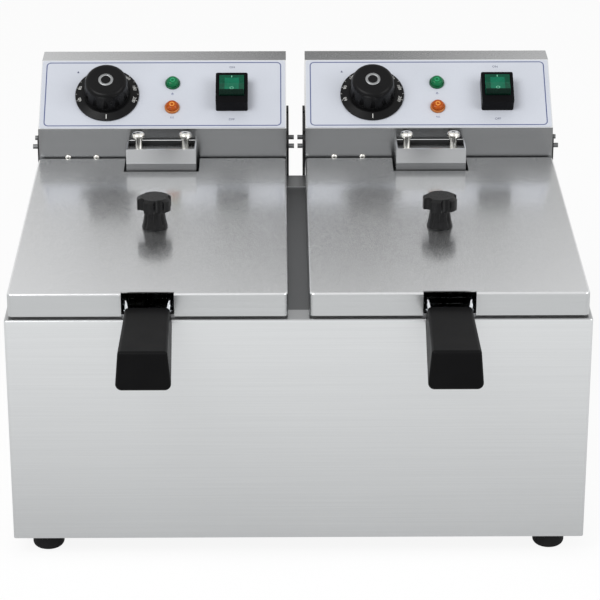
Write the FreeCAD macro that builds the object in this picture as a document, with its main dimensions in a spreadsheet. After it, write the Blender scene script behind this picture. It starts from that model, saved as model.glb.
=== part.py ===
import FreeCAD, Part
import math
import os

import Sketcher
from FreeCAD import Placement, Rotation, Vector

# Twin-tank electric deep fryer, in millimetres, +Z up, front towards -Y.
# The origin is on the table, under the middle of the overall box.
# Pieces of one tank unit are drawn from the unit's middle plane (x), the casing's
# front face (y) and the casing's top face (z), and are placed twice.

# Driving dimensions: alias, value, meaning.
SIZES = (
    ("body_width", 560, "casing, side to side"),
    ("body_depth", 395, "casing, front to rear"),
    ("body_height", 233, "casing, bottom edge to top face"),
    ("sheet", 1, "steel sheet of casing, lids, tanks and heads"),
    ("bend_radius", 3, "upright folded corners of the casing"),
    ("top_bend", 2, "folded top edges of casing and lids"),
    ("front_border", 24, "casing top in front of the tanks"),
    ("rear_border", 35, "casing top behind the tanks"),
    ("divider_skirt", 18, "folded sides of the strip between the tanks"),
    ("divider_tab", 10, "strip ends under the casing top"),
    ("base_lip", 12, "upturned edge of the base plate"),
    ("base_room", 0.2, "base plate inside the casing walls"),
    ("vent_length", 90, "slot in the base plate"),
    ("vent_width", 5, "slot in the base plate"),
    ("vent_count", 8, "slots in the base plate"),
    ("foot_diameter", 31, "rubber foot"),
    ("foot_height", 20, "rubber foot"),
    ("foot_inset", 32, "foot centre from the casing's sides"),
    ("foot_setback", 26, "foot centre from the casing's front and rear"),
    ("foot_round", 5, "rounded lower edge of a foot"),
    ("foot_screw", 5, "foot screw shank"),
    ("screw_room", 0.1, "screw hole wider than its screw, all round"),
    ("foot_screw_head", 9.5, "foot screw head"),
    ("foot_screw_depth", 12, "hole for the screw in a foot"),
    ("unit_gap", 20.2, "between the two lids"),
    ("side_margin", 3.4, "lid to casing side"),
    ("lid_front", 3.5, "lid edge behind the casing front"),
    ("lid_rear_gap", 3.5, "lid to the head's front face"),
    ("lid_corner", 5, "upright corners of the lid"),
    ("lid_height", 23.1, "lid skirt"),
    ("lid_gap", 0.3, "lid skirt above the tank rim"),
    ("handle_notch", 50.4, "width of the lid's front notch"),
    ("notch_reach", 5, "front notch into the lid top"),
    ("neck_room", 3, "lid's rear notch round the neck"),
    ("rim_width", 13, "tank rim at the sides"),
    ("rim_thickness", 2.2, "rolled tank rim"),
    ("tank_floor_gap", 43, "tank above the base plate"),
    ("tank_corner", 12, "upright tank corners"),
    ("rim_inset", 0.5, "tank rim inside the lid's sides and rear"),
    ("rim_setback", 6, "tank rim behind the lid's front"),
    ("rim_corner", 6, "tank rim corners"),
    ("tank_clearance", 1, "tank wall to casing opening"),
    ("head_setback", 12, "head's front face before the casing's rear"),
    ("head_room", 0.5, "head narrower than the lid"),
    ("head_floor", 4, "head above the casing top"),
    ("cover_room", 0.1, "rear cover inside the hood"),
    ("louvre_width", 4, "slot in the rear cover"),
    ("louvre_height", 40, "slot in the rear cover"),
    ("louvre_pitch", 12, "between slots in the rear cover"),
    ("louvre_count", 9, "slots in the rear cover"),
    ("louvre_start", -70, "first slot, from the head's middle"),
    ("louvre_drop", 20, "slots below the head's top"),
    ("panel_foot", 57.7, "lower edge of the sloped panel"),
    ("panel_run", 76, "sloped panel, front to rear"),
    ("panel_rise", 52.3, "sloped panel, height"),
    ("head_shelf", 32, "flat top behind the panel"),
    ("overlay_thickness", 0.5, "printed panel sheet"),
    ("dial_x", -60.5, "dial, from the head's middle"),
    ("dial_up", 44, "dial, up the slope"),
    ("skirt_diameter", 69, "dial skirt"),
    ("dial_diameter", 49.5, "dial grip at its foot"),
    ("dial_height", 28, "dial above its underside"),
    ("dial_top", 44, "dial grip at its top, before rounding"),
    ("dial_crown", 5, "rounded top edge of the dial"),
    ("skirt_edge", 1.6, "edge of the dial skirt"),
    ("skirt_rise", 4, "dial skirt at the grip"),
    ("skirt_step", 2, "flat round the grip's foot"),
    ("ring_inner", 10.8, "ring groove on the dial"),
    ("ring_outer", 14.4, "ring groove on the dial"),
    ("ring_depth", 0.4, "ring groove on the dial"),
    ("dial_gap", 0.6, "dial skirt above the panel sheet"),
    ("flute_count", 12, "finger flutes round the dial"),
    ("flute_radius", 3.5, "finger flute"),
    ("flute_depth", 2, "finger flute into the grip's foot"),
    ("flute_base", 8, "lower end of the flutes"),
    ("spindle_diameter", 6, "thermostat spindle"),
    ("lamp_x", 10, "lamps, from the head's middle"),
    ("power_lamp_up", 60, "green lamp, up the slope"),
    ("heat_lamp_up", 27.5, "amber lamp, up the slope"),
    ("lamp_diameter", 16, "lamp bezel"),
    ("lamp_rise", 7, "lamp lens above the panel sheet"),
    ("lamp_depth", 20, "lamp body behind the panel"),
    ("lamp_dome", 3.5, "rounded edge of the lens"),
    ("face_screw_near", 11.1, "inner face screw left of the dial"),
    ("face_screw_far", 41.5, "outer face screw left of the dial"),
    ("face_screw_height", 25, "face screws above the casing top"),
    ("face_screw", 4, "face screw shank"),
    ("switch_x", 74.4, "rocker switch, from the head's middle"),
    ("switch_up", 43, "rocker switch, up the slope"),
    ("switch_width", 34.5, "rocker frame"),
    ("switch_length", 40, "rocker frame"),
    ("switch_height", 16, "rocker frame above the panel"),
    ("switch_rim", 3.6, "frame wall beside the rocker"),
    ("switch_flange", 2, "frame over the panel opening"),
    ("rocker_length", 28, "rocker well, up the slope"),
    ("rocker_shift", 2.8, "rocker above the frame's middle"),
    ("rocker_room", 0.4, "rocker inside its well"),
    ("rocker_sink", 4, "rocker pivot below the frame's edge"),
    ("rocker_valley", 7, "rocker middle above the pivot"),
    ("rocker_shoulder", 8.6, "rocker ends above the pivot"),
    ("rocker_tilt", 9, "rocker, to either side of level, degrees"),
    ("neck_width", 74, "element neck"),
    ("neck_depth", 43, "element neck in front of the head"),
    ("neck_base", 4.5, "underside of the neck"),
    ("neck_height", 45, "neck, underside to lip"),
    ("neck_pocket", 8, "hanger pocket below the lip"),
    ("neck_sheet", 1.5, "neck plate"),
    ("neck_screw_spacing", 50, "between the two neck screws"),
    ("neck_screw_rise", 13, "neck screw head above the pocket floor"),
    ("neck_screw", 8, "neck screw shank"),
    ("neck_screw_back", 16, "neck screws before the head"),
    ("wire_window", 60, "opening from the neck into the head"),
    ("tube_diameter", 8, "heating element tube"),
    ("tube_bend", 14, "heating element bends"),
    ("tube_spacing", 35, "between runs of the element"),
    ("element_height", 25, "element above the tank's underside"),
    ("element_front", 70, "front run of the element"),
    ("element_rear_gap", 59, "rear turns of the element to the tank's rear"),
    ("bar_thickness", 2, "spacer bar on the element"),
    ("bulb_diameter", 6, "temperature sensor bulb"),
    ("bulb_length", 120, "temperature sensor bulb"),
    ("plate_thickness", 2.5, "guide plate beside a head"),
    ("plate_gap", 0.25, "guide plate to head side"),
    ("plate_depth", 60, "guide plate behind the casing"),
    ("plate_drop", 60, "guide plate below the casing top"),
    ("plate_brow", 40, "guide plate's front corner above the casing top"),
    ("plate_crest", 59, "guide plate's top above the casing top"),
    ("plate_heel", 10, "guide plate's rear corner above the casing top"),
    ("plate_flange", 22, "guide plate's foot on the casing"),
    ("flange_drop", 8, "guide plate's foot below the casing top"),
    ("stud_diameter", 5, "stud in a guide plate slot"),
    ("stud_reach", 8.5, "stud beside the head"),
    ("stud_height", 30, "studs above the casing top"),
    ("stud_setback", 22, "front studs behind the head's front face"),
    ("stud_spacing", 28, "front stud to rear stud"),
    ("slot_room", 0.4, "slot wider than the stud"),
    ("gland_reach", 18, "cord gland behind the head"),
    ("gland_bore", 10, "hole for the cord"),
    ("gland_wall", 3, "gland round the hole"),
    ("gland_flange", 4, "gland collar and nut beyond the thread"),
    ("gland_nut", 5, "nut inside the head"),
    ("gland_collar", 6, "collar outside the head"),
    ("gland_side", 40, "gland from the head's side"),
    ("gland_height", 30, "gland above the head floor"),
    ("basket_side_gap", 10.75, "basket to the tank's side walls"),
    ("basket_front_gap", 10, "basket to the tank's front wall"),
    ("basket_neck_gap", 12, "basket to the element neck"),
    ("basket_rim_drop", 30, "basket rim below the casing top"),
    ("basket_gap", 0.3, "basket above the spacer bars"),
    ("mesh_wire", 1.8, "basket mesh wire"),
    ("mesh_gap", 0.1, "between two layers of mesh wire"),
    ("lengthwise_wires", 12, "mesh wires front to rear"),
    ("crosswise_wires", 16, "mesh wires side to side"),
    ("hoop_wires", 6, "level wires in each wall"),
    ("rim_wire", 4.5, "basket rim wire"),
    ("rim_bend", 8, "basket rim corners"),
    ("handle_wire", 5, "handle rods"),
    ("handle_bend", 7, "handle rod bends"),
    ("handle_spread", 26, "handle rods at the basket, from the middle"),
    ("handle_flare", 23, "handle rods in the lid's notch, from the middle"),
    ("rod_straight", 2.8, "straight rod behind the grip's root"),
    ("rod_overlap", 35, "rods and bow below the basket rim"),
    ("rod_socket", 25, "rods into the grip"),
    ("bow_wire", 4, "hanger bow"),
    ("bow_bend", 6, "hanger bow bends"),
    ("bow_width", 44, "hanger bow"),
    ("bow_top", 14, "hanger bow above the casing top"),
    ("bow_lean", 4.5, "hanger bow towards the neck"),
    ("bow_knee", 12, "hanger bow's knee above the rim"),
    ("handle_level", 8, "handle rods above the casing top"),
    ("grip_length", 102.5, "black grip"),
    ("grip_front_gap", 2.5, "grip to casing front"),
    ("grip_top", 13.8, "grip top above the casing top"),
    ("grip_root_width", 48, "grip next to the casing"),
    ("grip_root_height", 22, "grip next to the casing"),
    ("grip_end_width", 52.5, "grip at its outer end"),
    ("grip_end_height", 40, "grip at its outer end"),
    ("grip_taper", 0.87, "grip's top width to its lower width"),
    ("grip_belly", 6, "rounded lower edges of the grip"),
    ("grip_edge", 3.5, "rounded upper and end edges of the grip"),
    ("rod_cover", 6.5, "rod centre inside the grip's side"),
    ("knob_y", 177, "lid knob behind the casing front"),
    ("knob_diameter", 35, "star knob head"),
    ("knob_height", 33, "star knob above the lid"),
    ("knob_lobes", 5, "lobes of the star knob"),
    ("knob_head", 13, "star knob head, height"),
    ("knob_stem", 17.5, "star knob stem"),
    ("knob_collar", 20.6, "star knob foot"),
    ("knob_gap", 6, "radius of the gaps between lobes"),
    ("knob_gap_out", 1.4, "gap centres beyond the knob's edge"),
    ("knob_bevel", 2, "sloped top edge of the star knob"),
    ("knob_dome", 4, "sloped top edge of the star knob, inwards"),
    ("rib_count", 8, "grooves round the stem"),
    ("rib_radius", 1.4, "groove round the stem"),
    ("knob_screw", 5, "lid knob screw"),
    ("knob_screw_depth", 18, "hole in the star knob"),
)

document = FreeCAD.newDocument("DeepFryer")
sheet = document.addObject("Spreadsheet::Sheet", "Sizes")
nodes = []


class Size:
    """A number together with the sheet formula that it comes from."""

    def __init__(self, value, text):
        self.value = value
        self.text = text

    def __add__(self, other):
        return combine(self, "+", other)

    def __radd__(self, other):
        return combine(other, "+", self)

    def __sub__(self, other):
        return combine(self, "-", other)

    def __rsub__(self, other):
        return combine(other, "-", self)

    def __mul__(self, other):
        return combine(self, "*", other)

    def __rmul__(self, other):
        return combine(other, "*", self)

    def __truediv__(self, other):
        return combine(self, "/", other)

    def __neg__(self):
        return combine(0, "-", self)


def as_size(item):
    return item if isinstance(item, Size) else Size(float(item), f"({item})")


def combine(first, sign, second):
    left, right = as_size(first), as_size(second)
    value = {
        "+": lambda: left.value + right.value,
        "-": lambda: left.value - right.value,
        "*": lambda: left.value * right.value,
        "/": lambda: left.value / right.value,
    }[sign]()
    return Size(value, f"({left.text} {sign} {right.text})")


def sine(angle):
    return Size(math.sin(math.radians(angle.value)), f"sin({angle.text})")


def cosine(angle):
    return Size(math.cos(math.radians(angle.value)), f"cos({angle.text})")


def in_degrees(amount):
    return Size(amount.value, f"({amount.text} * 1 deg)")


def fill_sheet():
    """Write the driving dimensions and give them back as named sizes."""
    sizes = {}
    for row, (alias, value, meaning) in enumerate(SIZES, start=1):
        sheet.set(f"A{row}", alias)
        sheet.set(f"B{row}", str(value))
        sheet.set(f"C{row}", meaning)
        sheet.setAlias(f"B{row}", alias)
        sizes[alias] = Size(float(value), f"Sizes.{alias}")
    document.recompute()
    return sizes


size = fill_sheet()

# Sizes worked out from the driving dimensions
lid_width = (size["body_width"] - size["unit_gap"]) / 2 - size["side_margin"]
unit_pitch = lid_width + size["unit_gap"]
casing_top = size["foot_height"] + size["body_height"]
head_width = lid_width - size["head_room"]
head_front = size["body_depth"] - size["head_setback"]
panel_top = size["panel_foot"] + size["panel_rise"]
head_rear = head_front + size["panel_run"] + size["head_shelf"]
panel_angle = Size(
    math.degrees(math.atan2(size["panel_rise"].value, size["panel_run"].value)),
    "atan2(Sizes.panel_rise; Sizes.panel_run)",
)
panel_length = Size(
    math.hypot(size["panel_rise"].value, size["panel_run"].value),
    "hypot(Sizes.panel_rise; Sizes.panel_run)",
)
grip_reach = size["grip_front_gap"] + size["grip_length"]
front_y = (grip_reach - head_rear - size["gland_reach"]) / 2
opening_width = lid_width - 2 * size["rim_width"]
opening_rear = size["body_depth"] - size["rear_border"]
tank_half = opening_width / 2 - size["tank_clearance"]
tank_front = size["front_border"] + size["tank_clearance"]
tank_rear = opening_rear - size["tank_clearance"]
tank_depth = size["body_height"] - size["tank_floor_gap"]
lid_rear = head_front - size["lid_rear_gap"]
lid_base = size["rim_thickness"] + size["lid_gap"]
lid_top = lid_base + size["lid_height"]
neck_front = head_front - size["neck_depth"]
neck_top = size["neck_base"] + size["neck_height"]
neck_screw_y = head_front - size["neck_screw_back"]
pocket_floor = neck_top - size["neck_pocket"]
tube_y = neck_front + size["neck_sheet"] + size["tube_diameter"] / 2
element_level = size["element_height"] - tank_depth
element_rear = tank_rear - size["element_rear_gap"]
bar_top = element_level + size["tube_diameter"] / 2 + size["bar_thickness"]
stud_front = head_front + size["stud_setback"]
basket_base = bar_top + size["basket_gap"]
basket_half = tank_half - size["sheet"] - size["basket_side_gap"]
basket_front = tank_front + size["sheet"] + size["basket_front_gap"]
basket_rear = neck_front - size["basket_neck_gap"]
rim_level = -size["basket_rim_drop"]
SIDES = (("left", unit_pitch / -2), ("right", unit_pitch / 2))

# Turns that lay a part drawn along Z on its side
TO_REAR = Rotation(Vector(1, 0, 0), -90)
TO_FRONT = Rotation(Vector(1, 0, 0), 90)


# Document helpers


def bind(item, name, amount):
    item.setExpression(name, as_size(amount).text)


def place(item, label, spot, tilt=None):
    """Give a finished sub-part its name and its place, with an optional turn about X."""
    item.Label = label
    if tilt is not None:
        item.Placement = Placement(Vector(), Rotation(Vector(1, 0, 0), tilt.value))
        bind(item, "Placement.Rotation.Angle", tilt)
    for axis, amount in zip("xyz", spot):
        bind(item, f"Placement.Base.{axis}", amount)
    nodes.append(item)


def unit_spot(unit_x):
    return unit_x, front_y, casing_top


def panel_spot(unit_x, across, up, out):
    """A point on the sloped panel: across it, up the slope and out along its normal."""
    return (
        unit_x + across,
        front_y + head_front + up * cosine(panel_angle) - out * sine(panel_angle),
        casing_top + size["panel_foot"] + up * sine(panel_angle) + out * cosine(panel_angle),
    )


def new_body(name):
    return document.addObject("PartDesign::Body", name)


def new_sketch(body, role, lift=0):
    """A sketch on one of the body's origin planes, lifted along the plane's normal."""
    sketch = body.newObject("Sketcher::SketchObject", "Outline")
    plane = next(item for item in body.Origin.OriginFeatures if item.Role == role)
    sketch.AttachmentSupport = [(plane, "")]
    sketch.MapMode = "FlatFace"
    bind(sketch, "AttachmentOffset.Base.z", lift)
    return sketch


def pin_point(sketch, index, end, point):
    """Hold one point of a sketch at two formulas from the origin."""
    for kind, amount in zip(("DistanceX", "DistanceY"), point):
        amount = as_size(amount)
        rule = Sketcher.Constraint(kind, -1, 1, index, end, amount.value)
        bind(sketch, f"Constraints[{sketch.addConstraint(rule)}]", amount)


def draw_polygon(sketch, corners):
    """A closed outline of straight lines, every corner held by formulas."""
    first = sketch.GeometryCount
    count = len(corners)
    points = [Vector(as_size(u).value, as_size(v).value, 0) for u, v in corners]
    for step in range(count):
        sketch.addGeometry(Part.LineSegment(points[step], points[(step + 1) % count]))
    for step in range(count):
        follower = first + (step + 1) % count
        sketch.addConstraint(Sketcher.Constraint("Coincident", first + step, 2, follower, 1))
    for step, corner in enumerate(corners):
        pin_point(sketch, first + step, 1, corner)


def box_corners(left, right, low, high):
    return (left, low), (right, low), (right, high), (left, high)


def draw_circle(sketch, centre, radius):
    index = sketch.GeometryCount
    middle = Vector(as_size(centre[0]).value, as_size(centre[1]).value, 0)
    sketch.addGeometry(Part.Circle(middle, Vector(0, 0, 1), as_size(radius).value))
    pin_point(sketch, index, 3, centre)
    rule = Sketcher.Constraint("Radius", index, as_size(radius).value)
    bind(sketch, f"Constraints[{sketch.addConstraint(rule)}]", radius)


def polygon_sketch(body, role, *outlines, lift=0):
    sketch = new_sketch(body, role, lift)
    for corners in outlines:
        draw_polygon(sketch, corners)
    return sketch


def circle_sketch(body, role, circles, lift=0):
    sketch = new_sketch(body, role, lift)
    for centre, radius in circles:
        draw_circle(sketch, centre, radius)
    return sketch


def draw_rounded(sketch, left, right, low, high, radius):
    """A rectangle with four equal round corners, held by its sides and radius."""
    first = sketch.GeometryCount
    sides = [as_size(item) for item in (left, right, low, high)]
    x0, x1, y0, y1 = [item.value for item in sides]
    bend = as_size(radius).value
    corner_data = (
        (x0 + bend, y0 + bend, 180, 270),
        (x1 - bend, y0 + bend, 270, 360),
        (x1 - bend, y1 - bend, 0, 90),
        (x0 + bend, y1 - bend, 90, 180),
    )
    for x, y, start, stop in corner_data:
        circle = Part.Circle(Vector(x, y, 0), Vector(0, 0, 1), bend)
        sketch.addGeometry(Part.ArcOfCircle(circle, math.radians(start), math.radians(stop)))
    spans = (
        ((x0 + bend, y0), (x1 - bend, y0)),
        ((x1, y0 + bend), (x1, y1 - bend)),
        ((x1 - bend, y1), (x0 + bend, y1)),
        ((x0, y1 - bend), (x0, y0 + bend)),
    )
    for start, stop in spans:
        sketch.addGeometry(Part.LineSegment(Vector(*start, 0), Vector(*stop, 0)))
    for corner in range(4):
        arc, line, after = first + corner, first + 4 + corner, first + (corner + 1) % 4
        sketch.addConstraint(Sketcher.Constraint("Tangent", arc, 2, line, 1))
        sketch.addConstraint(Sketcher.Constraint("Tangent", line, 2, after, 1))
        level = "Horizontal" if corner % 2 == 0 else "Vertical"
        sketch.addConstraint(Sketcher.Constraint(level, line))
        if corner:
            sketch.addConstraint(Sketcher.Constraint("Equal", first, arc))
    rule = Sketcher.Constraint("Radius", first, bend)
    bind(sketch, f"Constraints[{sketch.addConstraint(rule)}]", radius)
    kinds = ("DistanceX", "DistanceX", "DistanceY", "DistanceY")
    for kind, line, amount in zip(kinds, (7, 5, 4, 6), sides):
        rule = Sketcher.Constraint(kind, -1, 1, first + line, 1, amount.value)
        bind(sketch, f"Constraints[{sketch.addConstraint(rule)}]", amount)


def rounded_sketch(body, left, right, low, high, radius, lift=0):
    sketch = new_sketch(body, "XY_Plane", lift)
    draw_rounded(sketch, left, right, low, high, radius)
    return sketch


def tilt_sketch(sketch):
    """Lay a sketch drawn on the level plane on the head's sloped panel."""
    sketch.AttachmentOffset = Placement(Vector(), Rotation(Vector(1, 0, 0), panel_angle.value))
    bind(sketch, "AttachmentOffset.Rotation.Angle", panel_angle)
    bind(sketch, "AttachmentOffset.Base.y", head_front)
    bind(sketch, "AttachmentOffset.Base.z", size["panel_foot"])


def extrude(kind, body, sketch, length, reverse=False, symmetric=False):
    feature = body.newObject(f"PartDesign::{kind}", kind)
    feature.Profile = sketch
    if symmetric:
        feature.SideType = "Symmetric"
    feature.Reversed = reverse
    bind(feature, "Length", length)
    document.recompute()
    return feature


def pad(body, sketch, length, **options):
    return extrude("Pad", body, sketch, length, **options)


def pocket(body, sketch, length, **options):
    """Cut a pocket and insist that it took something away."""
    before = body.Shape.Volume
    feature = extrude("Pocket", body, sketch, length, **options)
    if body.Shape.Volume > before - 1e-6:
        raise RuntimeError(f"the pocket in {body.Label} cut nothing")
    return feature


def revolve(body, sketch):
    feature = body.newObject("PartDesign::Revolution", "Revolution")
    feature.Profile = sketch
    feature.ReferenceAxis = (sketch, ["V_Axis"])
    feature.Angle = 360
    document.recompute()
    return feature


def origin_axis(body, role):
    return next(item for item in body.Origin.OriginFeatures if item.Role == role), [""]


def repeat_round(body, feature, count):
    pattern = body.newObject("PartDesign::PolarPattern", "Round")
    pattern.Originals = [feature]
    pattern.Axis = origin_axis(body, "Z_Axis")
    pattern.Angle = 360
    bind(pattern, "Occurrences", count)
    body.Tip = pattern
    document.recompute()


def repeat_along(body, feature, role, length, count):
    pattern = body.newObject("PartDesign::LinearPattern", "Row")
    pattern.Originals = [feature]
    pattern.Direction = origin_axis(body, role)
    bind(pattern, "Length", length)
    bind(pattern, "Occurrences", count)
    body.Tip = pattern
    document.recompute()


def round_edges(body, radius, chosen):
    """Fillet the body's edges whose middle point and direction pass a test."""
    shape = body.Shape
    inverse = body.Placement.inverse()
    names = []
    for number, edge in enumerate(shape.Edges, start=1):
        middle = inverse.multVec(edge.CenterOfGravity)
        if chosen(edge, middle):
            names.append(f"Edge{number}")
    base = body.Tip
    fillet = body.newObject("PartDesign::Fillet", "Fillet")
    fillet.Base = (base, names)
    bind(fillet, "Radius", radius)
    body.Tip = fillet
    document.recompute()


def upright(edge):
    ends = [vertex.Point for vertex in edge.Vertexes]
    if len(ends) != 2 or edge.Curve.TypeId != "Part::GeomLine":
        return False
    return (ends[1] - ends[0]).cross(Vector(0, 0, 1)).Length < 1e-6


def ring(edge):
    return len(edge.Vertexes) == 1


def near(first, second):
    return abs(first - as_size(second).value) < 1e-3


def turned(name, profile):
    """A body of revolution about Z from a half outline of radius and height."""
    body = new_body(name)
    revolve(body, polygon_sketch(body, "XZ_Plane", profile))
    return body


def cylinder(radius, height, spot=(0, 0, 0), turn=None):
    """A round bar along Z, or along the direction a turn gives it."""
    item = document.addObject("Part::Cylinder", "Cylinder")
    bind(item, "Radius", radius)
    bind(item, "Height", height)
    if turn is not None:
        item.Placement = Placement(Vector(), turn)
    return moved(item, spot)


def block(width, depth, height, spot):
    """A box centred on x, with its front lower edge at the given y and z."""
    item = document.addObject("Part::Box", "Block")
    bind(item, "Length", width)
    bind(item, "Width", depth)
    bind(item, "Height", height)
    x, y, z = spot
    return moved(item, (x - as_size(width) / 2, y, z))


def joined(kind, items):
    """One object from several: a fuse of touching solids or a group of separate ones."""
    group = document.addObject(kind, "Group")
    setattr(group, "Links" if kind == "Part::Compound" else "Shapes", items)
    return group


def cut(base, tool):
    result = document.addObject("Part::Cut", "Cut")
    result.Base = base
    result.Tool = tool
    return result


def moved(item, spot):
    for letter, amount in zip("xyz", spot):
        bind(item, f"Placement.Base.{letter}", amount)
    return item


def bent_rod(points, radius, bend, closed=False):
    """A round rod along straight runs joined by tangent arcs."""
    corners = [Vector(*[as_size(part).value for part in point]) for point in points]
    radius, bend = as_size(radius).value, as_size(bend).value
    count = len(corners)
    turns = range(count) if closed else range(1, count - 1)
    entries, exits, arcs = {}, {}, {}
    for step in turns:
        corner = corners[step]
        back = (corners[step - 1] - corner).normalize()
        ahead = (corners[(step + 1) % count] - corner).normalize()
        half = back.getAngle(ahead) / 2
        reach = bend / math.tan(half)
        entries[step] = corner + back * reach
        exits[step] = corner + ahead * reach
        inward = (back + ahead).normalize()
        middle = corner + inward * (bend / math.sin(half) - bend)
        arcs[step] = Part.Arc(entries[step], middle, exits[step]).toShape()
    edges = []
    for step in range(count if closed else count - 1):
        after = (step + 1) % count
        start = exits.get(step, corners[step])
        end = entries.get(after, corners[after])
        edges.append(Part.LineSegment(start, end).toShape())
        if after in arcs:
            edges.append(arcs[after])
    path = Part.Wire(edges)
    start = edges[0].Vertexes[0].Point
    direction = edges[0].tangentAt(edges[0].FirstParameter)
    section = Part.Wire([Part.makeCircle(radius, start, direction)])
    return path.makePipeShell([section], True, False)


def rod_feature(name, shapes):
    item = document.addObject("Part::Feature", name)
    item.Shape = shapes[0] if len(shapes) == 1 else Part.makeCompound(shapes)
    return item


# Casing side


def make_casing():
    """One folded sheet shell: four walls and the top border round both tanks."""
    body = new_body("casing")
    half, depth, high = size["body_width"] / 2, size["body_depth"], size["body_height"]
    wall = size["sheet"]
    pad(body, polygon_sketch(body, "XY_Plane", box_corners(-half, half, 0, depth)), high)
    round_edges(body, size["bend_radius"], lambda edge, middle: upright(edge))
    round_edges(body, size["top_bend"], lambda edge, middle: near(middle.z, high))
    bend = size["bend_radius"] - wall
    inside = rounded_sketch(body, wall - half, half - wall, wall, depth - wall, bend)
    pocket(body, inside, high - wall, reverse=True)
    reach = unit_pitch / 2 + opening_width / 2
    opening = box_corners(-reach, reach, size["front_border"], opening_rear)
    pocket(body, polygon_sketch(body, "XY_Plane", opening, lift=high), 2 * wall)
    place(body, "casing", (0, front_y, size["foot_height"]))


def foot_spots():
    reach = size["body_width"] / 2 - size["foot_inset"]
    far = size["body_depth"] - size["foot_setback"]
    for x in (-reach, reach):
        for y in (size["foot_setback"], far):
            yield x, y


def make_base_plate():
    body = new_body("base_plate")
    wall = size["sheet"]
    inset = wall + size["base_room"]
    half, depth, lip = size["body_width"] / 2, size["body_depth"], size["base_lip"]
    bend = size["bend_radius"] - wall
    tray = rounded_sketch(body, inset - half, half - inset, inset, depth - inset, bend)
    pad(body, tray, lip)
    rim = inset + wall
    hollow = rounded_sketch(body, rim - half, half - rim, rim, depth - rim, bend - wall, lip)
    pocket(body, hollow, lip - wall)
    holes = [(spot, size["foot_screw"] / 2 + size["base_room"]) for spot in foot_spots()]
    pocket(body, circle_sketch(body, "XY_Plane", holes, lift=wall), 2 * wall)
    vent_pitch = 3 * size["vent_width"]
    start = depth / 2 - vent_pitch * (size["vent_count"] - 1) / 2
    low = start - size["vent_width"] / 2
    offset = unit_pitch / 2
    slots = [
        box_corners(
            side * offset - size["vent_length"] / 2,
            side * offset + size["vent_length"] / 2,
            low,
            low + size["vent_width"],
        )
        for side in (-1, 1)
    ]
    slot = pocket(body, polygon_sketch(body, "XY_Plane", *slots, lift=wall), 2 * wall)
    repeat_along(body, slot, "Y_Axis", vent_pitch * (size["vent_count"] - 1), size["vent_count"])
    place(body, "base_plate", (0, front_y, size["foot_height"]))


def make_divider():
    """Inverted channel between the tanks, its ends tucked under the top border."""
    body = new_body("centre_divider")
    half = (unit_pitch - opening_width) / 2
    wall, skirt = size["sheet"], size["divider_skirt"]
    channel = (
        (-half, -skirt),
        (wall - half, -skirt),
        (wall - half, -wall),
        (half - wall, -wall),
        (half - wall, -skirt),
        (half, -skirt),
        (half, 0),
        (-half, 0),
    )
    start = size["front_border"] - size["divider_tab"]
    length = opening_rear + size["divider_tab"] - start
    sketch = polygon_sketch(body, "XZ_Plane", channel, lift=-start)
    pad(body, sketch, length, reverse=True)
    place(body, "centre_divider", (0, front_y, casing_top - wall))


def make_feet():
    feet, screws = [], []
    radius, high = size["foot_diameter"] / 2, size["foot_height"]
    bore, bore_depth = size["foot_screw"] / 2 + size["screw_room"], size["foot_screw_depth"]
    shank_end, head_thick = high - bore_depth + 1, 3
    for x, y in foot_spots():
        profile = (
            (0, 0),
            (radius, 0),
            (radius, high),
            (bore, high),
            (bore, high - bore_depth),
            (0, high - bore_depth),
        )
        foot = turned("Foot", profile)
        round_edges(foot, size["foot_round"], lambda edge, middle: near(middle.z, 0) and ring(edge))
        feet.append(moved(foot, (x, y, 0)))
        head_level = high + size["sheet"]
        shank = cylinder(size["foot_screw"] / 2, head_level - shank_end, (x, y, shank_end))
        head = cylinder(size["foot_screw_head"] / 2, head_thick, (x, y, head_level))
        screws.append(joined("Part::MultiFuse", [shank, head]))
    place(joined("Part::Compound", feet), "feet", (0, front_y, 0))
    place(joined("Part::Compound", screws), "foot_screws", (0, front_y, 0))


def make_guide_plate(unit_x, side):
    """Black plate beside a head, bent at its foot to sit on the casing's rear wall."""
    body = new_body("GuidePlate")
    rear = size["body_depth"]
    thick, deep = size["plate_thickness"], size["plate_depth"]
    drop, crest = size["plate_drop"], size["plate_crest"]
    shoulder = 0.6
    outline = (
        (rear, -drop),
        (rear + deep / 2, -drop),
        (rear + deep, size["plate_heel"]),
        (rear + deep, crest),
        (rear + deep * shoulder, crest),
        (rear, size["plate_brow"]),
    )
    inner = head_width / 2 + size["plate_gap"]
    start = inner if side > 0 else -inner - thick
    pad(body, polygon_sketch(body, "YZ_Plane", outline, lift=start), thick)
    slot = (size["stud_diameter"] + size["slot_room"]) / 2
    studs = (stud_front, stud_front + size["stud_spacing"])
    rounds = [((stud, size["stud_height"]), slot) for stud in studs]
    pocket(body, circle_sketch(body, "YZ_Plane", rounds, lift=start), thick, reverse=True)
    slots = [box_corners(stud - slot, stud + slot, size["stud_height"], crest + 1) for stud in studs]
    pocket(body, polygon_sketch(body, "YZ_Plane", *slots, lift=start), thick, reverse=True)
    flange = size["plate_flange"]
    near_x, far_x = (inner - flange, inner) if side > 0 else (-inner, flange - inner)
    foot = box_corners(near_x, far_x, -drop, -size["flange_drop"])
    pad(body, polygon_sketch(body, "XZ_Plane", foot, lift=-rear), thick, reverse=True)
    return moved(body, unit_spot(unit_x))


def make_guide_plates():
    plates = [make_guide_plate(unit_x, side) for _, unit_x in SIDES for side in (-1, 1)]
    place(joined("Part::Compound", plates), "head_guide_plates", (0, 0, 0))


# Tank unit


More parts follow.
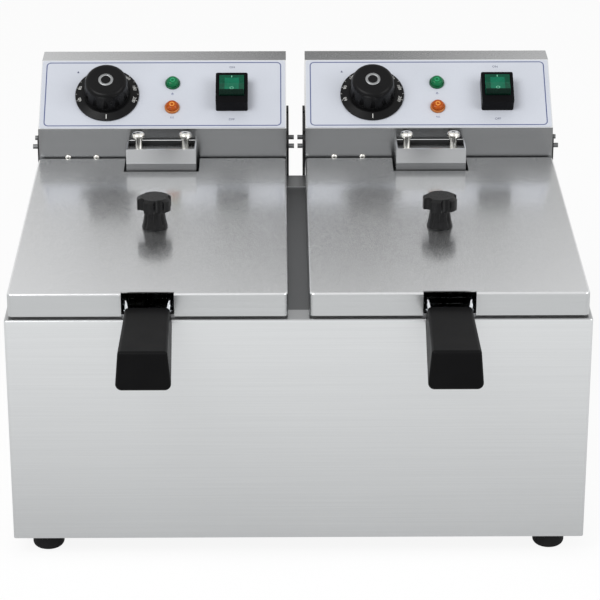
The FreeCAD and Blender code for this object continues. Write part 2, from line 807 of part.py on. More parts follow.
def make_tank(side, unit_x):
    """Deep-drawn tank that hangs in the casing by its wide rim."""
    body = new_body(f"{side}_oil_tank")
    wall, corner, deep = size["sheet"], size["tank_corner"], tank_depth
    tub = rounded_sketch(body, -tank_half, tank_half, tank_front, tank_rear, corner)
    pad(body, tub, deep, reverse=True)
    half, rear = lid_width / 2 - size["rim_inset"], lid_rear - size["rim_inset"]
    front = size["lid_front"] + size["rim_setback"]
    rim = rounded_sketch(body, -half, half, front, rear, size["rim_corner"])
    pad(body, rim, size["rim_thickness"])
    inside = (wall - tank_half, tank_half - wall, tank_front + wall, tank_rear - wall)
    hollow = rounded_sketch(body, *inside, corner - wall, lift=size["rim_thickness"])
    pocket(body, hollow, deep - wall + size["rim_thickness"])
    round_edges(body, corner / 2 - wall, lambda edge, middle: near(middle.z, wall - deep))
    round_edges(body, corner / 2, lambda edge, middle: near(middle.z, -deep))
    place(body, f"{side}_oil_tank", unit_spot(unit_x))


def make_lid(side, unit_x):
    """Folded sheet lid with a notch for the basket handle and one round the neck."""
    body = new_body(f"{side}_lid")
    half, wall, front = lid_width / 2, size["sheet"], size["lid_front"]
    corner, room = size["lid_corner"], size["neck_room"]
    pad(body, rounded_sketch(body, -half, half, front, lid_rear, corner, lid_base), size["lid_height"])
    round_edges(body, size["top_bend"], lambda edge, middle: near(middle.z, lid_top))
    hollow = rounded_sketch(
        body, wall - half, half - wall, front + wall, lid_rear - wall, corner - wall, lid_base
    )
    pocket(body, hollow, size["lid_height"] - wall, reverse=True)
    notch = size["handle_notch"] / 2
    front_notch = box_corners(-notch, notch, front - 1, front + size["notch_reach"])
    neck_half = size["neck_width"] / 2 + room
    rear_notch = box_corners(-neck_half, neck_half, neck_front - room, lid_rear + 1)
    both = polygon_sketch(body, "XY_Plane", front_notch, rear_notch, lift=lid_top)
    pocket(body, both, size["lid_height"] + 1)
    bore = size["knob_screw"] / 2 + size["screw_room"]
    hole = circle_sketch(body, "XY_Plane", [((0, size["knob_y"]), bore)], lift=lid_top)
    pocket(body, hole, 2 * wall)
    place(body, f"{side}_lid", unit_spot(unit_x))


def make_lid_knob(side, unit_x):
    """Star knob on a ribbed stem, held by a screw from inside the lid."""
    radius, high = size["knob_diameter"] / 2, size["knob_height"]
    bore, bore_depth = size["knob_screw"] / 2 + size["screw_room"], size["knob_screw_depth"]
    stem, collar = size["knob_stem"] / 2, size["knob_collar"] / 2
    head_base = high - size["knob_head"]
    collar_rise = 3
    profile = (
        (bore, 0),
        (collar, 0),
        (collar, collar_rise),
        (stem, collar_rise + 1),
        (stem, head_base),
        (radius, head_base),
        (radius, high - size["knob_bevel"]),
        (radius - size["knob_dome"], high),
        (0, high),
        (0, bore_depth),
        (bore, bore_depth),
    )
    body = turned(f"{side}_lid_knob", profile)
    gap_spot = (radius + size["knob_gap_out"], 0)
    lobe_gap = circle_sketch(body, "XY_Plane", [(gap_spot, size["knob_gap"])], lift=high)
    groove = pocket(body, lobe_gap, size["knob_head"])
    repeat_round(body, groove, size["knob_lobes"])
    rib_spot = (stem + size["rib_radius"] / 2, 0)
    rib_gap = circle_sketch(body, "XY_Plane", [(rib_spot, size["rib_radius"])], lift=head_base)
    groove = pocket(body, rib_gap, head_base - collar_rise - 2)
    repeat_round(body, groove, size["rib_count"])
    x, y, z = unit_spot(unit_x)
    place(body, f"{side}_lid_knob", (x, y + size["knob_y"], z + lid_top))
    head_radius, head_thick = 6, 3
    shank = cylinder(size["knob_screw"] / 2, bore_depth - 2, (0, 0, -size["sheet"]))
    head = cylinder(head_radius, head_thick, (0, 0, -size["sheet"] - head_thick))
    screw = joined("Part::MultiFuse", [shank, head])
    place(screw, f"{side}_lid_knob_screw", (x, y + size["knob_y"], z + lid_top))


# Control head


def panel_holes():
    """Openings through the sloped panel: spindle and two lamps."""
    room = 2
    lamp = size["lamp_diameter"] / 2 - room
    return [
        ((size["dial_x"], size["dial_up"]), size["spindle_diameter"] / 2 + room),
        ((size["lamp_x"], size["power_lamp_up"]), lamp),
        ((size["lamp_x"], size["heat_lamp_up"]), lamp),
    ]


def switch_opening():
    flange = size["switch_flange"] - size["base_room"]
    half, reach = size["switch_width"] / 2 - flange, size["switch_length"] / 2 - flange
    x, up = size["switch_x"], size["switch_up"]
    return box_corners(x - half, x + half, up - reach, up + reach)


def face_screw_spots():
    level = size["face_screw_height"]
    return [(size["dial_x"] - size[name], level) for name in ("face_screw_far", "face_screw_near")]


def make_housing(side, unit_x):
    """Folded hood: front face, sloped panel, flat top and two sides."""
    body = new_body(f"{side}_head_housing")
    front, floor, rear, wall = head_front, size["head_floor"], head_rear, size["sheet"]
    crest = front + size["panel_run"]
    outside = (
        (front, floor),
        (rear, floor),
        (rear, panel_top),
        (crest, panel_top),
        (front, size["panel_foot"]),
    )
    pad(body, polygon_sketch(body, "YZ_Plane", outside), head_width, symmetric=True)
    climb = size["panel_rise"] / size["panel_run"]
    drop = wall / cosine(panel_angle)
    inside = (
        (front + wall, floor - 1),
        (rear + 1, floor - 1),
        (rear + 1, panel_top - wall),
        (crest + (drop - wall) / climb, panel_top - wall),
        (front + wall, size["panel_foot"] - drop + wall * climb),
    )
    pocket(body, polygon_sketch(body, "YZ_Plane", inside), head_width - 2 * wall, symmetric=True)
    for sketch in (
        circle_sketch(body, "XY_Plane", panel_holes()),
        polygon_sketch(body, "XY_Plane", switch_opening()),
    ):
        tilt_sketch(sketch)
        pocket(body, sketch, 3 * wall)
    window_half, low, high = size["wire_window"] / 2, 12, 34
    window = box_corners(-window_half, window_half, low, high)
    face_cuts = polygon_sketch(body, "XZ_Plane", window, lift=-front)
    for spot in face_screw_spots():
        draw_circle(face_cuts, spot, size["face_screw"] / 2 + size["screw_room"])
    pocket(body, face_cuts, 2 * wall)
    place(body, f"{side}_head_housing", unit_spot(unit_x))


def make_rear_cover(side, unit_x):
    """Floor and rear wall of the head in one folded sheet, with vents and the gland hole."""
    body = new_body(f"{side}_head_rear_cover")
    floor, wall, room = size["head_floor"], size["sheet"], size["cover_room"]
    front, top = head_front + wall + room, panel_top - wall - room
    profile = (
        (front, floor),
        (head_rear, floor),
        (head_rear, top),
        (head_rear - wall, top),
        (head_rear - wall, floor + wall),
        (front, floor + wall),
    )
    width = head_width - 2 * (wall + room)
    pad(body, polygon_sketch(body, "YZ_Plane", profile), width, symmetric=True)
    bore = size["gland_bore"] / 2 + size["gland_wall"] + size["screw_room"]
    hole = circle_sketch(body, "XZ_Plane", [(gland_spot(), bore)], lift=-head_rear)
    pocket(body, hole, 2 * wall, reverse=True)
    left, high = size["louvre_start"], panel_top - size["louvre_drop"]
    vent = box_corners(left, left + size["louvre_width"], high - size["louvre_height"], high)
    slot = pocket(body, polygon_sketch(body, "XZ_Plane", vent, lift=-head_rear), 2 * wall, reverse=True)
    row = size["louvre_pitch"] * (size["louvre_count"] - 1)
    repeat_along(body, slot, "X_Axis", row, size["louvre_count"])
    place(body, f"{side}_head_rear_cover", unit_spot(unit_x))


def gland_spot():
    return head_width / 2 - size["gland_side"], size["head_floor"] + size["gland_height"]


def make_overlay(side, unit_x):
    body = new_body(f"{side}_panel_overlay")
    margin, corner, thick = 1, 2, size["overlay_thickness"]
    half = head_width / 2 - margin
    pad(body, rounded_sketch(body, -half, half, margin, panel_length - margin, corner), thick)
    openings = circle_sketch(body, "XY_Plane", panel_holes(), lift=thick)
    draw_polygon(openings, switch_opening())
    pocket(body, openings, 2 * thick)
    place(body, f"{side}_panel_overlay", panel_spot(unit_x, 0, 0, 0), panel_angle)


def make_dial(side, unit_x):
    """Fluted knob on a wide skirt, with a ring let into its top, and its spindle."""
    foot, high = size["dial_diameter"] / 2, size["dial_height"]
    cap, spare = 8, 0.5
    bore, bore_depth = size["spindle_diameter"] / 2 + size["screw_room"] / 2, high - cap
    skirt, crest = size["skirt_diameter"] / 2, size["dial_top"] / 2
    ring_in, ring_out, ring_deep = size["ring_inner"] / 2, size["ring_outer"] / 2, size["ring_depth"]
    profile = (
        (bore, 0),
        (skirt, 0),
        (skirt, size["skirt_edge"]),
        (foot + size["skirt_step"], size["skirt_rise"]),
        (foot, size["skirt_rise"]),
        (foot, size["skirt_rise"] + size["skirt_step"]),
        (crest, high),
        (ring_out, high),
        (ring_out, high - ring_deep),
        (ring_in, high - ring_deep),
        (ring_in, high),
        (0, high),
        (0, bore_depth),
        (bore, bore_depth),
    )
    body = turned(f"{side}_dial_knob", profile)
    round_edges(body, size["dial_crown"], lambda edge, middle: near(edge.Length, 2 * math.pi * crest))
    flute_spot = (foot + size["flute_radius"] - size["flute_depth"], 0)
    flute = circle_sketch(body, "XY_Plane", [(flute_spot, size["flute_radius"])], lift=high)
    groove = pocket(body, flute, high - size["flute_base"])
    repeat_round(body, groove, size["flute_count"])
    under = size["overlay_thickness"] + size["dial_gap"]
    spot = panel_spot(unit_x, size["dial_x"], size["dial_up"], under)
    place(body, f"{side}_dial_knob", spot, panel_angle)
    start = -size["sheet"] - spare
    spindle = cylinder(size["spindle_diameter"] / 2, bore_depth + under - start - spare)
    spot = panel_spot(unit_x, size["dial_x"], size["dial_up"], start)
    place(spindle, f"{side}_dial_spindle", spot, panel_angle)


def make_thermostat(side, unit_x):
    """Thermostat behind the dial: a round capsule under a mounting plate."""
    thick, deep, capsule_radius = 2, 28, 19
    plate_width, plate_length = 46, 34
    plate = block(plate_width, plate_length, thick, (0, -plate_length / 2, -thick))
    capsule = cylinder(capsule_radius, deep, (0, 0, -thick - deep))
    bore = size["spindle_diameter"] / 2 + size["base_room"]
    spindle_room = cylinder(bore, thick + 2, (0, 0, -thick - 1))
    whole = cut(joined("Part::MultiFuse", [plate, capsule]), spindle_room)
    spot = panel_spot(unit_x, size["dial_x"], size["dial_up"], -size["sheet"])
    place(whole, f"{side}_thermostat", spot, panel_angle)


def make_lamp(label, unit_x, up):
    """Signal lamp: bezel, domed lens and a threaded body behind the panel."""
    bezel = size["lamp_diameter"] / 2
    lens, shank, base = bezel - 1.3, bezel - 2.2, size["overlay_thickness"]
    deep, top = size["lamp_depth"], base + size["lamp_rise"]
    profile = (
        (0, -deep),
        (shank, -deep),
        (shank, base),
        (bezel, base),
        (bezel, base + 2),
        (lens, base + 2.4),
        (lens, top),
        (0, top),
    )
    body = turned(label, profile)
    round_edges(body, size["lamp_dome"], lambda edge, middle: near(middle.z, top) and ring(edge))
    place(body, label, panel_spot(unit_x, size["lamp_x"], up, 0), panel_angle)


def make_switch(side, unit_x):
    """Rocker switch: a collar on the panel, its body behind, and the rocker in it."""
    body = new_body(f"{side}_switch_frame")
    half, reach = size["switch_width"] / 2, size["switch_length"] / 2
    base, high, shift = size["overlay_thickness"], size["switch_height"], size["rocker_shift"]
    corner, shell_deep, well_deep = 2, 24, 10
    pad(body, rounded_sketch(body, -half, half, -reach, reach, corner, base), high - base)
    flange = size["switch_flange"]
    shell = box_corners(flange - half, half - flange, flange - reach, reach - flange)
    pad(body, polygon_sketch(body, "XY_Plane", shell, lift=base), shell_deep, reverse=True)
    well_half, well_reach = half - size["switch_rim"], size["rocker_length"] / 2
    well = box_corners(-well_half, well_half, shift - well_reach, shift + well_reach)
    pocket(body, polygon_sketch(body, "XY_Plane", well, lift=high), high + well_deep)
    spot = panel_spot(unit_x, size["switch_x"], size["switch_up"], 0)
    place(body, f"{side}_switch_frame", spot, panel_angle)

    rocker = new_body(f"{side}_rocker")
    drum, cheek = well_reach - size["rocker_room"], well_half - size["rocker_room"]
    pad(rocker, circle_sketch(rocker, "YZ_Plane", [((0, 0), drum)]), 2 * cheek, symmetric=True)
    valley, shoulder, out = size["rocker_valley"], size["rocker_shoulder"], drum + 1
    crown = ((0, valley), (out, shoulder), (out, out), (-out, out), (-out, shoulder))
    pocket(rocker, polygon_sketch(rocker, "YZ_Plane", crown), 3 * cheek, symmetric=True)
    up, out = size["switch_up"] + shift, high - size["rocker_sink"]
    spot = panel_spot(unit_x, size["switch_x"], up, out)
    place(rocker, f"{side}_rocker", spot, panel_angle - in_degrees(size["rocker_tilt"]))


def make_neck(side, unit_x):
    """Neck over the tank rim that carries the element, with an open hanger pocket on top."""
    body = new_body(f"{side}_element_neck")
    half, wall = size["neck_width"] / 2, size["neck_sheet"]
    front, rear, base = neck_front, head_front, size["neck_base"]
    outline = box_corners(-half, half, front, rear)
    pad(body, polygon_sketch(body, "XY_Plane", outline, lift=base), size["neck_height"])
    inside = box_corners(wall - half, half - wall, front + wall, rear + 1)
    pocket(body, polygon_sketch(body, "XY_Plane", inside, lift=neck_top), size["neck_pocket"])
    cavity = box_corners(wall - half, half - wall, base + wall, pocket_floor - wall)
    sketch = polygon_sketch(body, "XZ_Plane", cavity, lift=-rear)
    pocket(body, sketch, size["neck_depth"] - wall, reverse=True)
    holes = [((x, tube_y), size["tube_diameter"] / 2 + size["slot_room"]) for x in tube_pair()]
    pocket(body, circle_sketch(body, "XY_Plane", holes, lift=base + wall), 2 * wall)
    bore = size["neck_screw"] / 2 + size["base_room"]
    bolts = [((x, neck_screw_y), bore) for x in neck_screw_pair()]
    pocket(body, circle_sketch(body, "XY_Plane", bolts, lift=pocket_floor), 2 * wall)
    place(body, f"{side}_element_neck", unit_spot(unit_x))


def tube_pair():
    return -(size["tube_spacing"] / 2), size["tube_spacing"] / 2


def neck_screw_pair():
    return size["neck_screw_spacing"] / -2, size["neck_screw_spacing"] / 2


def make_neck_screws(side, unit_x):
    """Tall domed screws through the pocket floor, each with a nut below it."""
    items = []
    rise, wall, shank = size["neck_screw_rise"], size["neck_sheet"], size["neck_screw"] / 2
    tail, head, head_high, dome = -10, 7, 4.5, 3
    nut_radius, nut_high = 7.2, 6
    top = rise + head_high
    for x in neck_screw_pair():
        profile = ((0, tail), (shank, tail), (shank, rise), (head, rise), (head, top), (0, top))
        screw = turned("NeckScrew", profile)
        round_edges(screw, dome, lambda edge, middle: near(middle.z, top) and ring(edge))
        nut = document.addObject("Part::Prism", "Nut")
        nut.Polygon = 6
        bind(nut, "Circumradius", nut_radius)
        bind(nut, "Height", nut_high)
        bind(nut, "Placement.Base.z", -wall - nut_high)
        bore = cylinder(shank + size["screw_room"] / 2, nut_high + 2, (0, 0, -wall - nut_high - 1))
        for item in (screw, cut(nut, bore)):
            items.append(moved(item, (x, neck_screw_y, pocket_floor)))
    place(joined("Part::Compound", items), f"{side}_neck_screws", unit_spot(unit_x))


def make_element(side, unit_x):
    """Serpentine heating tube at the tank floor, with two spacer bars and two sensor bulbs."""
    inner, pitch = tube_pair()[1], size["tube_spacing"]
    middle, outer = inner + pitch, inner + 2 * pitch
    level, front, rear = element_level, size["element_front"], element_rear
    inward, start_z = 12, 23
    start_y, turn = head_front + inward, front + pitch
    half_path = (
        (inner, start_y, start_z),
        (inner, tube_y, start_z),
        (inner, tube_y, level),
        (inner, turn, level),
        (middle, turn, level),
        (middle, rear, level),
        (outer, rear, level),
        (outer, front, level),
    )
    mirrored = [(-x, y, z) for x, y, z in reversed(half_path)]
    rod = bent_rod([*half_path, *mirrored], size["tube_diameter"] / 2, size["tube_bend"])
    place(rod_feature(f"{side}_heating_element", [rod]), f"{side}_heating_element", unit_spot(unit_x))

    under = bar_top - size["bar_thickness"]
    bar_width, overhang = 12, 8
    front_bar, rear_bar, bulb_front = turn + 20, rear - 45, turn + 30
    bars = [
        block(2 * (outer + overhang), bar_width, size["bar_thickness"], (0, y, under))
        for y in (front_bar, rear_bar)
    ]
    place(joined("Part::Compound", bars), f"{side}_element_bars", unit_spot(unit_x))

    radius = size["bulb_diameter"] / 2
    bulbs = [
        cylinder(radius, size["bulb_length"], (x, bulb_front, under - radius), TO_REAR)
        for x in ((inner + middle) / -2, (inner + middle) / 2)
    ]
    place(joined("Part::Compound", bulbs), f"{side}_sensor_bulbs", unit_spot(unit_x))


def make_head_inside(side, unit_x):
    """Limiter behind the face screws and terminal block on the head floor."""
    (left, level), (right, _) = face_screw_spots()
    wall, middle, start = size["sheet"], (left + right) / 2, head_front + size["sheet"]
    margin, thick, high = 12, 2, 14
    can_radius, can_length = 9, 24
    plate = block(right - left + margin, thick, high, (middle, start, level - high / 2))
    can = cylinder(can_radius, can_length, (middle, start, level), TO_REAR)
    bore = size["face_screw"] / 2 + size["screw_room"]
    holes = [
        cylinder(bore, wall + thick + 1, (x, head_front, z), TO_REAR)
        for x, z in face_screw_spots()
    ]
    limiter = cut(joined("Part::MultiFuse", [plate, can]), joined("Part::Compound", holes))
    place(limiter, f"{side}_limiter", unit_spot(unit_x))

    long, deep, high, ways = 66, 22, 20, 5
    wall_thick, base_thick, chamber, from_rear = 4, 6, 8, 45
    floor, y, x = size["head_floor"] + wall, head_rear - from_rear, size["switch_x"]
    base = block(long, deep, high, (x, y, floor))
    pitch = long / (ways + 1)
    chambers = []
    for way in range(ways):
        spot = (x + (way - (ways - 1) / 2) * pitch, y + wall_thick, floor + base_thick)
        chambers.append(block(chamber, deep - 2 * wall_thick, high, spot))
    place(cut(base, joined("Part::Compound", chambers)), f"{side}_terminal_block", unit_spot(unit_x))


def make_face_screws(side, unit_x):
    screws = []
    shank, tail, head, top, dome = size["face_screw"] / 2, -5, 3.5, 2.2, 1.6
    for x, z in face_screw_spots():
        profile = ((0, tail), (shank, tail), (shank, 0), (head, 0), (head, top), (0, top))
        screw = turned("FaceScrew", profile)
        round_edges(screw, dome, lambda edge, middle: near(middle.z, top) and ring(edge))
        screw.Placement = Placement(Vector(), TO_FRONT)
        screws.append(moved(screw, (x, head_front, z)))
    place(joined("Part::Compound", screws), f"{side}_face_screws", unit_spot(unit_x))


def make_studs(side, unit_x):
    studs = []
    radius, reach, level = size["stud_diameter"] / 2, size["stud_reach"], size["stud_height"]
    for sign in (-1, 1):
        outward = Rotation(Vector(0, 1, 0), 90 * sign)
        for y in (stud_front, stud_front + size["stud_spacing"]):
            studs.append(cylinder(radius, reach, (sign * head_width / 2, y, level), outward))
    place(joined("Part::Compound", studs), f"{side}_guide_studs", unit_spot(unit_x))


def make_gland(side, unit_x):
    """Cord gland in the rear wall: inner nut, outer collar and dome, one bore through."""
    reach, bore = size["gland_reach"], size["gland_bore"] / 2
    thread, wall = bore + size["gland_wall"], size["sheet"]
    nut_end, collar = -size["gland_nut"] - wall, size["gland_collar"]
    flange = thread + size["gland_flange"]
    dome, chamfer, lip = thread + 2, 4, bore + 2
    profile = (
        (bore, nut_end),
        (flange, nut_end),
        (flange, -wall),
        (thread, -wall),
        (thread, 0),
        (flange, 0),
        (flange, collar),
        (dome, collar),
        (dome, reach - chamfer),
        (lip, reach),
        (bore, reach),
    )
    body = turned(f"{side}_cord_gland", profile)
    body.Placement = Placement(Vector(), TO_REAR)
    x, z = gland_spot()
    place(body, f"{side}_cord_gland", (unit_x + x, front_y + head_rear, casing_top + z))


# Basket


def make_basket_mesh(side, unit_x):
    """Open box of straight wires in two layers, laid side by side a hair apart."""
    body = new_body(f"{side}_basket_mesh")
    wire, gap, half = size["mesh_wire"], size["mesh_gap"], basket_half
    front, rear, base = basket_front, basket_rear, basket_base
    top = rim_level - size["rim_wire"] / 2 - gap
    step = wire + gap
    width, length = 2 * half, rear - front
    across, along = width - 4 * step - wire, length - 4 * step - wire
    x0, y0 = 2 * step - half, front + 2 * step

    lower = polygon_sketch(body, "XZ_Plane", box_corners(x0, x0 + wire, base, base + wire), lift=-front)
    row = pad(body, lower, length, reverse=True)
    repeat_along(body, row, "X_Axis", across, size["lengthwise_wires"])

    second = base + step
    upper = polygon_sketch(body, "YZ_Plane", box_corners(y0, y0 + wire, second, second + wire), lift=-half)
    row = pad(body, upper, width)
    repeat_along(body, row, "Y_Axis", along, size["crosswise_wires"])

    side_walls = [
        box_corners(-half, wire - half, y0, y0 + wire),
        box_corners(half - wire, half, y0, y0 + wire),
    ]
    foot = base + 2 * step
    row = pad(body, polygon_sketch(body, "XY_Plane", *side_walls, lift=foot), top - foot)
    repeat_along(body, row, "Y_Axis", along, size["crosswise_wires"])

    end_walls = [
        box_corners(x0, x0 + wire, front, front + wire),
        box_corners(x0, x0 + wire, rear - wire, rear),
    ]
    foot = second
    row = pad(body, polygon_sketch(body, "XY_Plane", *end_walls, lift=foot), top - foot)
    repeat_along(body, row, "X_Axis", across, size["lengthwise_wires"])

    hoop_low, hoop_high = base + 5 * step, top - 5 * step
    inner = half - step - wire
    side_hoops = [
        box_corners(-inner - wire, -inner, hoop_low, hoop_low + wire),
        box_corners(inner, inner + wire, hoop_low, hoop_low + wire),
    ]
    sketch = polygon_sketch(body, "XZ_Plane", *side_hoops, lift=-front - step)
    row = pad(body, sketch, length - 2 * step, reverse=True)
    repeat_along(body, row, "Z_Axis", hoop_high - hoop_low, size["hoop_wires"])

    end_hoops = [
        box_corners(front + step, front + step + wire, hoop_low, hoop_low + wire),
        box_corners(rear - step - wire, rear - step, hoop_low, hoop_low + wire),
    ]
    sketch = polygon_sketch(body, "YZ_Plane", *end_hoops, lift=gap - inner)
    row = pad(body, sketch, 2 * (inner - gap))
    repeat_along(body, row, "Z_Axis", hoop_high - hoop_low, size["hoop_wires"])
    place(body, f"{side}_basket_mesh", unit_spot(unit_x))


def make_basket_frame(side, unit_x):
    """Rim wire, two handle rods over the tank rim and a hanger bow at the rear."""
    wire, rod = size["rim_wire"] / 2, size["handle_wire"] / 2
    half, front, rear = basket_half - wire / 2, basket_front + wire / 2, basket_rear - wire / 2
    shapes = [closed_rim(half, front, rear, wire)]
    spread, root, level = size["handle_spread"], grip_rod_spacing() / 2, size["handle_level"]
    rod_y, foot = front - wire - rod, rim_level - size["rod_overlap"]
    grip_y = -size["grip_front_gap"]
    bend_y, rod_end = grip_y + size["rod_straight"], grip_y - size["rod_socket"] + 1
    flare, flare_y = size["handle_flare"], size["lid_front"] + size["notch_reach"]
    for sign in (-1, 1):
        path = (
            (sign * spread, rod_y, foot),
            (sign * spread, rod_y, level),
            (sign * flare, flare_y, level),
            (sign * root, bend_y, level),
            (sign * root, rod_end, level),
        )
        shapes.append(bent_rod(path, rod, size["handle_bend"]))
    bow, bow_half, bow_top = size["bow_wire"] / 2, size["bow_width"] / 2, size["bow_top"]
    bow_y, knee = rear + wire + bow, rim_level + size["bow_knee"]
    lean_y = bow_y + size["bow_lean"]
    path = (
        (-bow_half, bow_y, foot),
        (-bow_half, bow_y, knee),
        (-bow_half, lean_y, bow_top),
        (bow_half, lean_y, bow_top),
        (bow_half, bow_y, knee),
        (bow_half, bow_y, foot),
    )
    shapes.append(bent_rod(path, bow, size["bow_bend"]))
    place(rod_feature(f"{side}_basket_frame", shapes), f"{side}_basket_frame", unit_spot(unit_x))


def closed_rim(half, front, rear, wire):
    corners = [(half, front), (half, rear), (-half, rear), (-half, front)]
    path = [(x, y, rim_level) for x, y in corners]
    return bent_rod(path, wire, size["rim_bend"], closed=True)


def grip_rod_spacing():
    return size["grip_root_width"] - 2 * size["rod_cover"]


def make_grip(side, unit_x):
    """Black moulded grip that swells towards its end, with sockets for the two rods."""
    body = new_body(f"{side}_basket_grip")
    top, gap, taper = size["grip_top"], size["grip_front_gap"], size["grip_taper"]

    def section(width, high, lift):
        low, half = top - high, width / 2
        corners = ((-half, low), (half, low), (half * taper, top), (-half * taper, top))
        return polygon_sketch(body, "XZ_Plane", corners, lift=lift)

    root = section(size["grip_root_width"], size["grip_root_height"], gap)
    end = section(size["grip_end_width"], size["grip_end_height"], grip_reach)
    loft = body.newObject("PartDesign::AdditiveLoft", "Loft")
    loft.Profile = root
    loft.Sections = [end]
    loft.Ruled = True
    body.Tip = loft
    document.recompute()
    middle_z = (top - size["grip_root_height"] / 2).value

    def lengthwise(edge):
        return edge.BoundBox.YLength > size["grip_length"].value / 2

    def upper_or_end(edge, middle):
        return near(middle.y, -grip_reach) or lengthwise(edge) and middle.z > middle_z

    round_edges(body, size["grip_belly"], lambda edge, middle: lengthwise(edge) and middle.z < middle_z)
    round_edges(body, size["grip_edge"], upper_or_end)
    bore, level = size["handle_wire"] / 2 + size["screw_room"], size["handle_level"]
    sockets = [((sign * grip_rod_spacing() / 2, level), bore) for sign in (-1, 1)]
    pocket(body, circle_sketch(body, "XZ_Plane", sockets, lift=gap), size["rod_socket"], reverse=True)
    place(body, f"{side}_basket_grip", unit_spot(unit_x))


def build():
    make_casing()
    make_base_plate()
    make_divider()
    make_feet()
    make_guide_plates()
    for side, unit_x in SIDES:
        make_tank(side, unit_x)
        make_housing(side, unit_x)
        make_rear_cover(side, unit_x)
        make_overlay(side, unit_x)
        make_dial(side, unit_x)
        make_thermostat(side, unit_x)
        make_lamp(f"{side}_power_lamp", unit_x, size["power_lamp_up"])
        make_lamp(f"{side}_heat_lamp", unit_x, size["heat_lamp_up"])
        make_switch(side, unit_x)
        make_neck(side, unit_x)
        make_neck_screws(side, unit_x)
        make_element(side, unit_x)
        make_head_inside(side, unit_x)
        make_face_screws(side, unit_x)
        make_studs(side, unit_x)
        make_gland(side, unit_x)
        make_basket_mesh(side, unit_x)
        make_basket_frame(side, unit_x)
        make_grip(side, unit_x)
        make_lid(side, unit_x)
        make_lid_knob(side, unit_x)


def check():
    """Stop on any failed feature or unsound shape before a file is written."""
    document.recompute()
    for item in document.Objects:
        if {"Invalid", "Error"} & set(item.State):
            raise RuntimeError(f"{item.Label} failed: {item.State}")
    for item in nodes:
        if item.Shape.isNull() or not item.Shape.isValid():
            raise RuntimeError(f"{item.Label} has no sound shape")


def export():
    os.makedirs("parts", exist_ok=True)
    for item in nodes:
        item.Shape.exportStep(f"parts/{item.Label}.step")
    print(f"{len(nodes)} sub-parts written")


build()
check()
export()
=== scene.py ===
import math

import bmesh
import bpy
from mathutils import Matrix, Vector


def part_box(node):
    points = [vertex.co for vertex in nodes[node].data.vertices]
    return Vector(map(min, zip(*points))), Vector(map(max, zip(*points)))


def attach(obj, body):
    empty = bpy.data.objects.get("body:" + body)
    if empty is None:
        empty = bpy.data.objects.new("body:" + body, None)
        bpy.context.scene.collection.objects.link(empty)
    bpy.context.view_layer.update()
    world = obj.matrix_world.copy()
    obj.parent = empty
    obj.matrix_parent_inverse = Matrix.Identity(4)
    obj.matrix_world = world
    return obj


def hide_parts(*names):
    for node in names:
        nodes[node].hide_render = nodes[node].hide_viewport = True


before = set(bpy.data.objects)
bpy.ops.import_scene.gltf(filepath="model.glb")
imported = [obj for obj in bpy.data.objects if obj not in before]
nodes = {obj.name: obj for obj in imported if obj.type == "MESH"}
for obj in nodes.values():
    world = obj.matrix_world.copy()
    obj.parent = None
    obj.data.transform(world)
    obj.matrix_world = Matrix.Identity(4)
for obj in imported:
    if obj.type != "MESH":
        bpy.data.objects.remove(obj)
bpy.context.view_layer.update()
scene = bpy.context.scene
print("frame loaded:", len(nodes), "pieces")

mm = 0.001
perMetre = 1000  # divided by a size in mm, it gives a pattern's scale
unitX = {}  # middle plane of each tank unit, in metres
for side in ("left", "right"):
    low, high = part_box(side + "_lid")
    unitX[side] = (low.x + high.x) / 2


def linear(hexText):  # sRGB hex to the linear values that shaders take
    parts = [int(hexText[i:i + 2], 16) / 255 for i in (1, 3, 5)]
    return [p / 12.92 if p <= 0.04045 else ((p + 0.055) / 1.055) ** 2.4 for p in parts] + [1.0]


def addNode(tree, kind, inputs=None, **settings):  # a socket given as an input is linked, a number is set
    node = tree.nodes.new(kind)
    for name, value in settings.items():
        setattr(node, name, value)
    for name, value in (inputs or {}).items():
        if isinstance(value, bpy.types.NodeSocket):
            tree.links.new(value, node.inputs[name])
        else:
            node.inputs[name].default_value = value
    return node


def newFinish(name, surface):  # a material with its shader's uniform values set
    material = bpy.data.materials.new(name)
    material.use_nodes = True
    shader = material.node_tree.nodes["Principled BSDF"]
    for socket, value in surface.items():
        shader.inputs[socket].default_value = value
    return material, material.node_tree, shader


# Brushed 304 stainless sheet: fine straight hairlines from the belt. Its lands stay polished and its
# scratches are rough, so a clear reflection lies over a soft one.
# Real hairlines are 0.1 mm apart, drawn 0.9 mm apart so that they show.
beltPolish = {"hairlineMm": 0.9, "runMm": 160, "wipeMm": 140, "scratchMm": 0.25, "polish": (0.2, 0.24),
              "lands": 0.5, "landEdge": 0.06, "haze": 0.03, "relief": 0.03, "reliefMm": 0.02, "spread": 0.6,
              "sideways": 0.7, "toneSpan": (0.3, 0.7), "paintedTopSpan": (0.2, 0.8)}


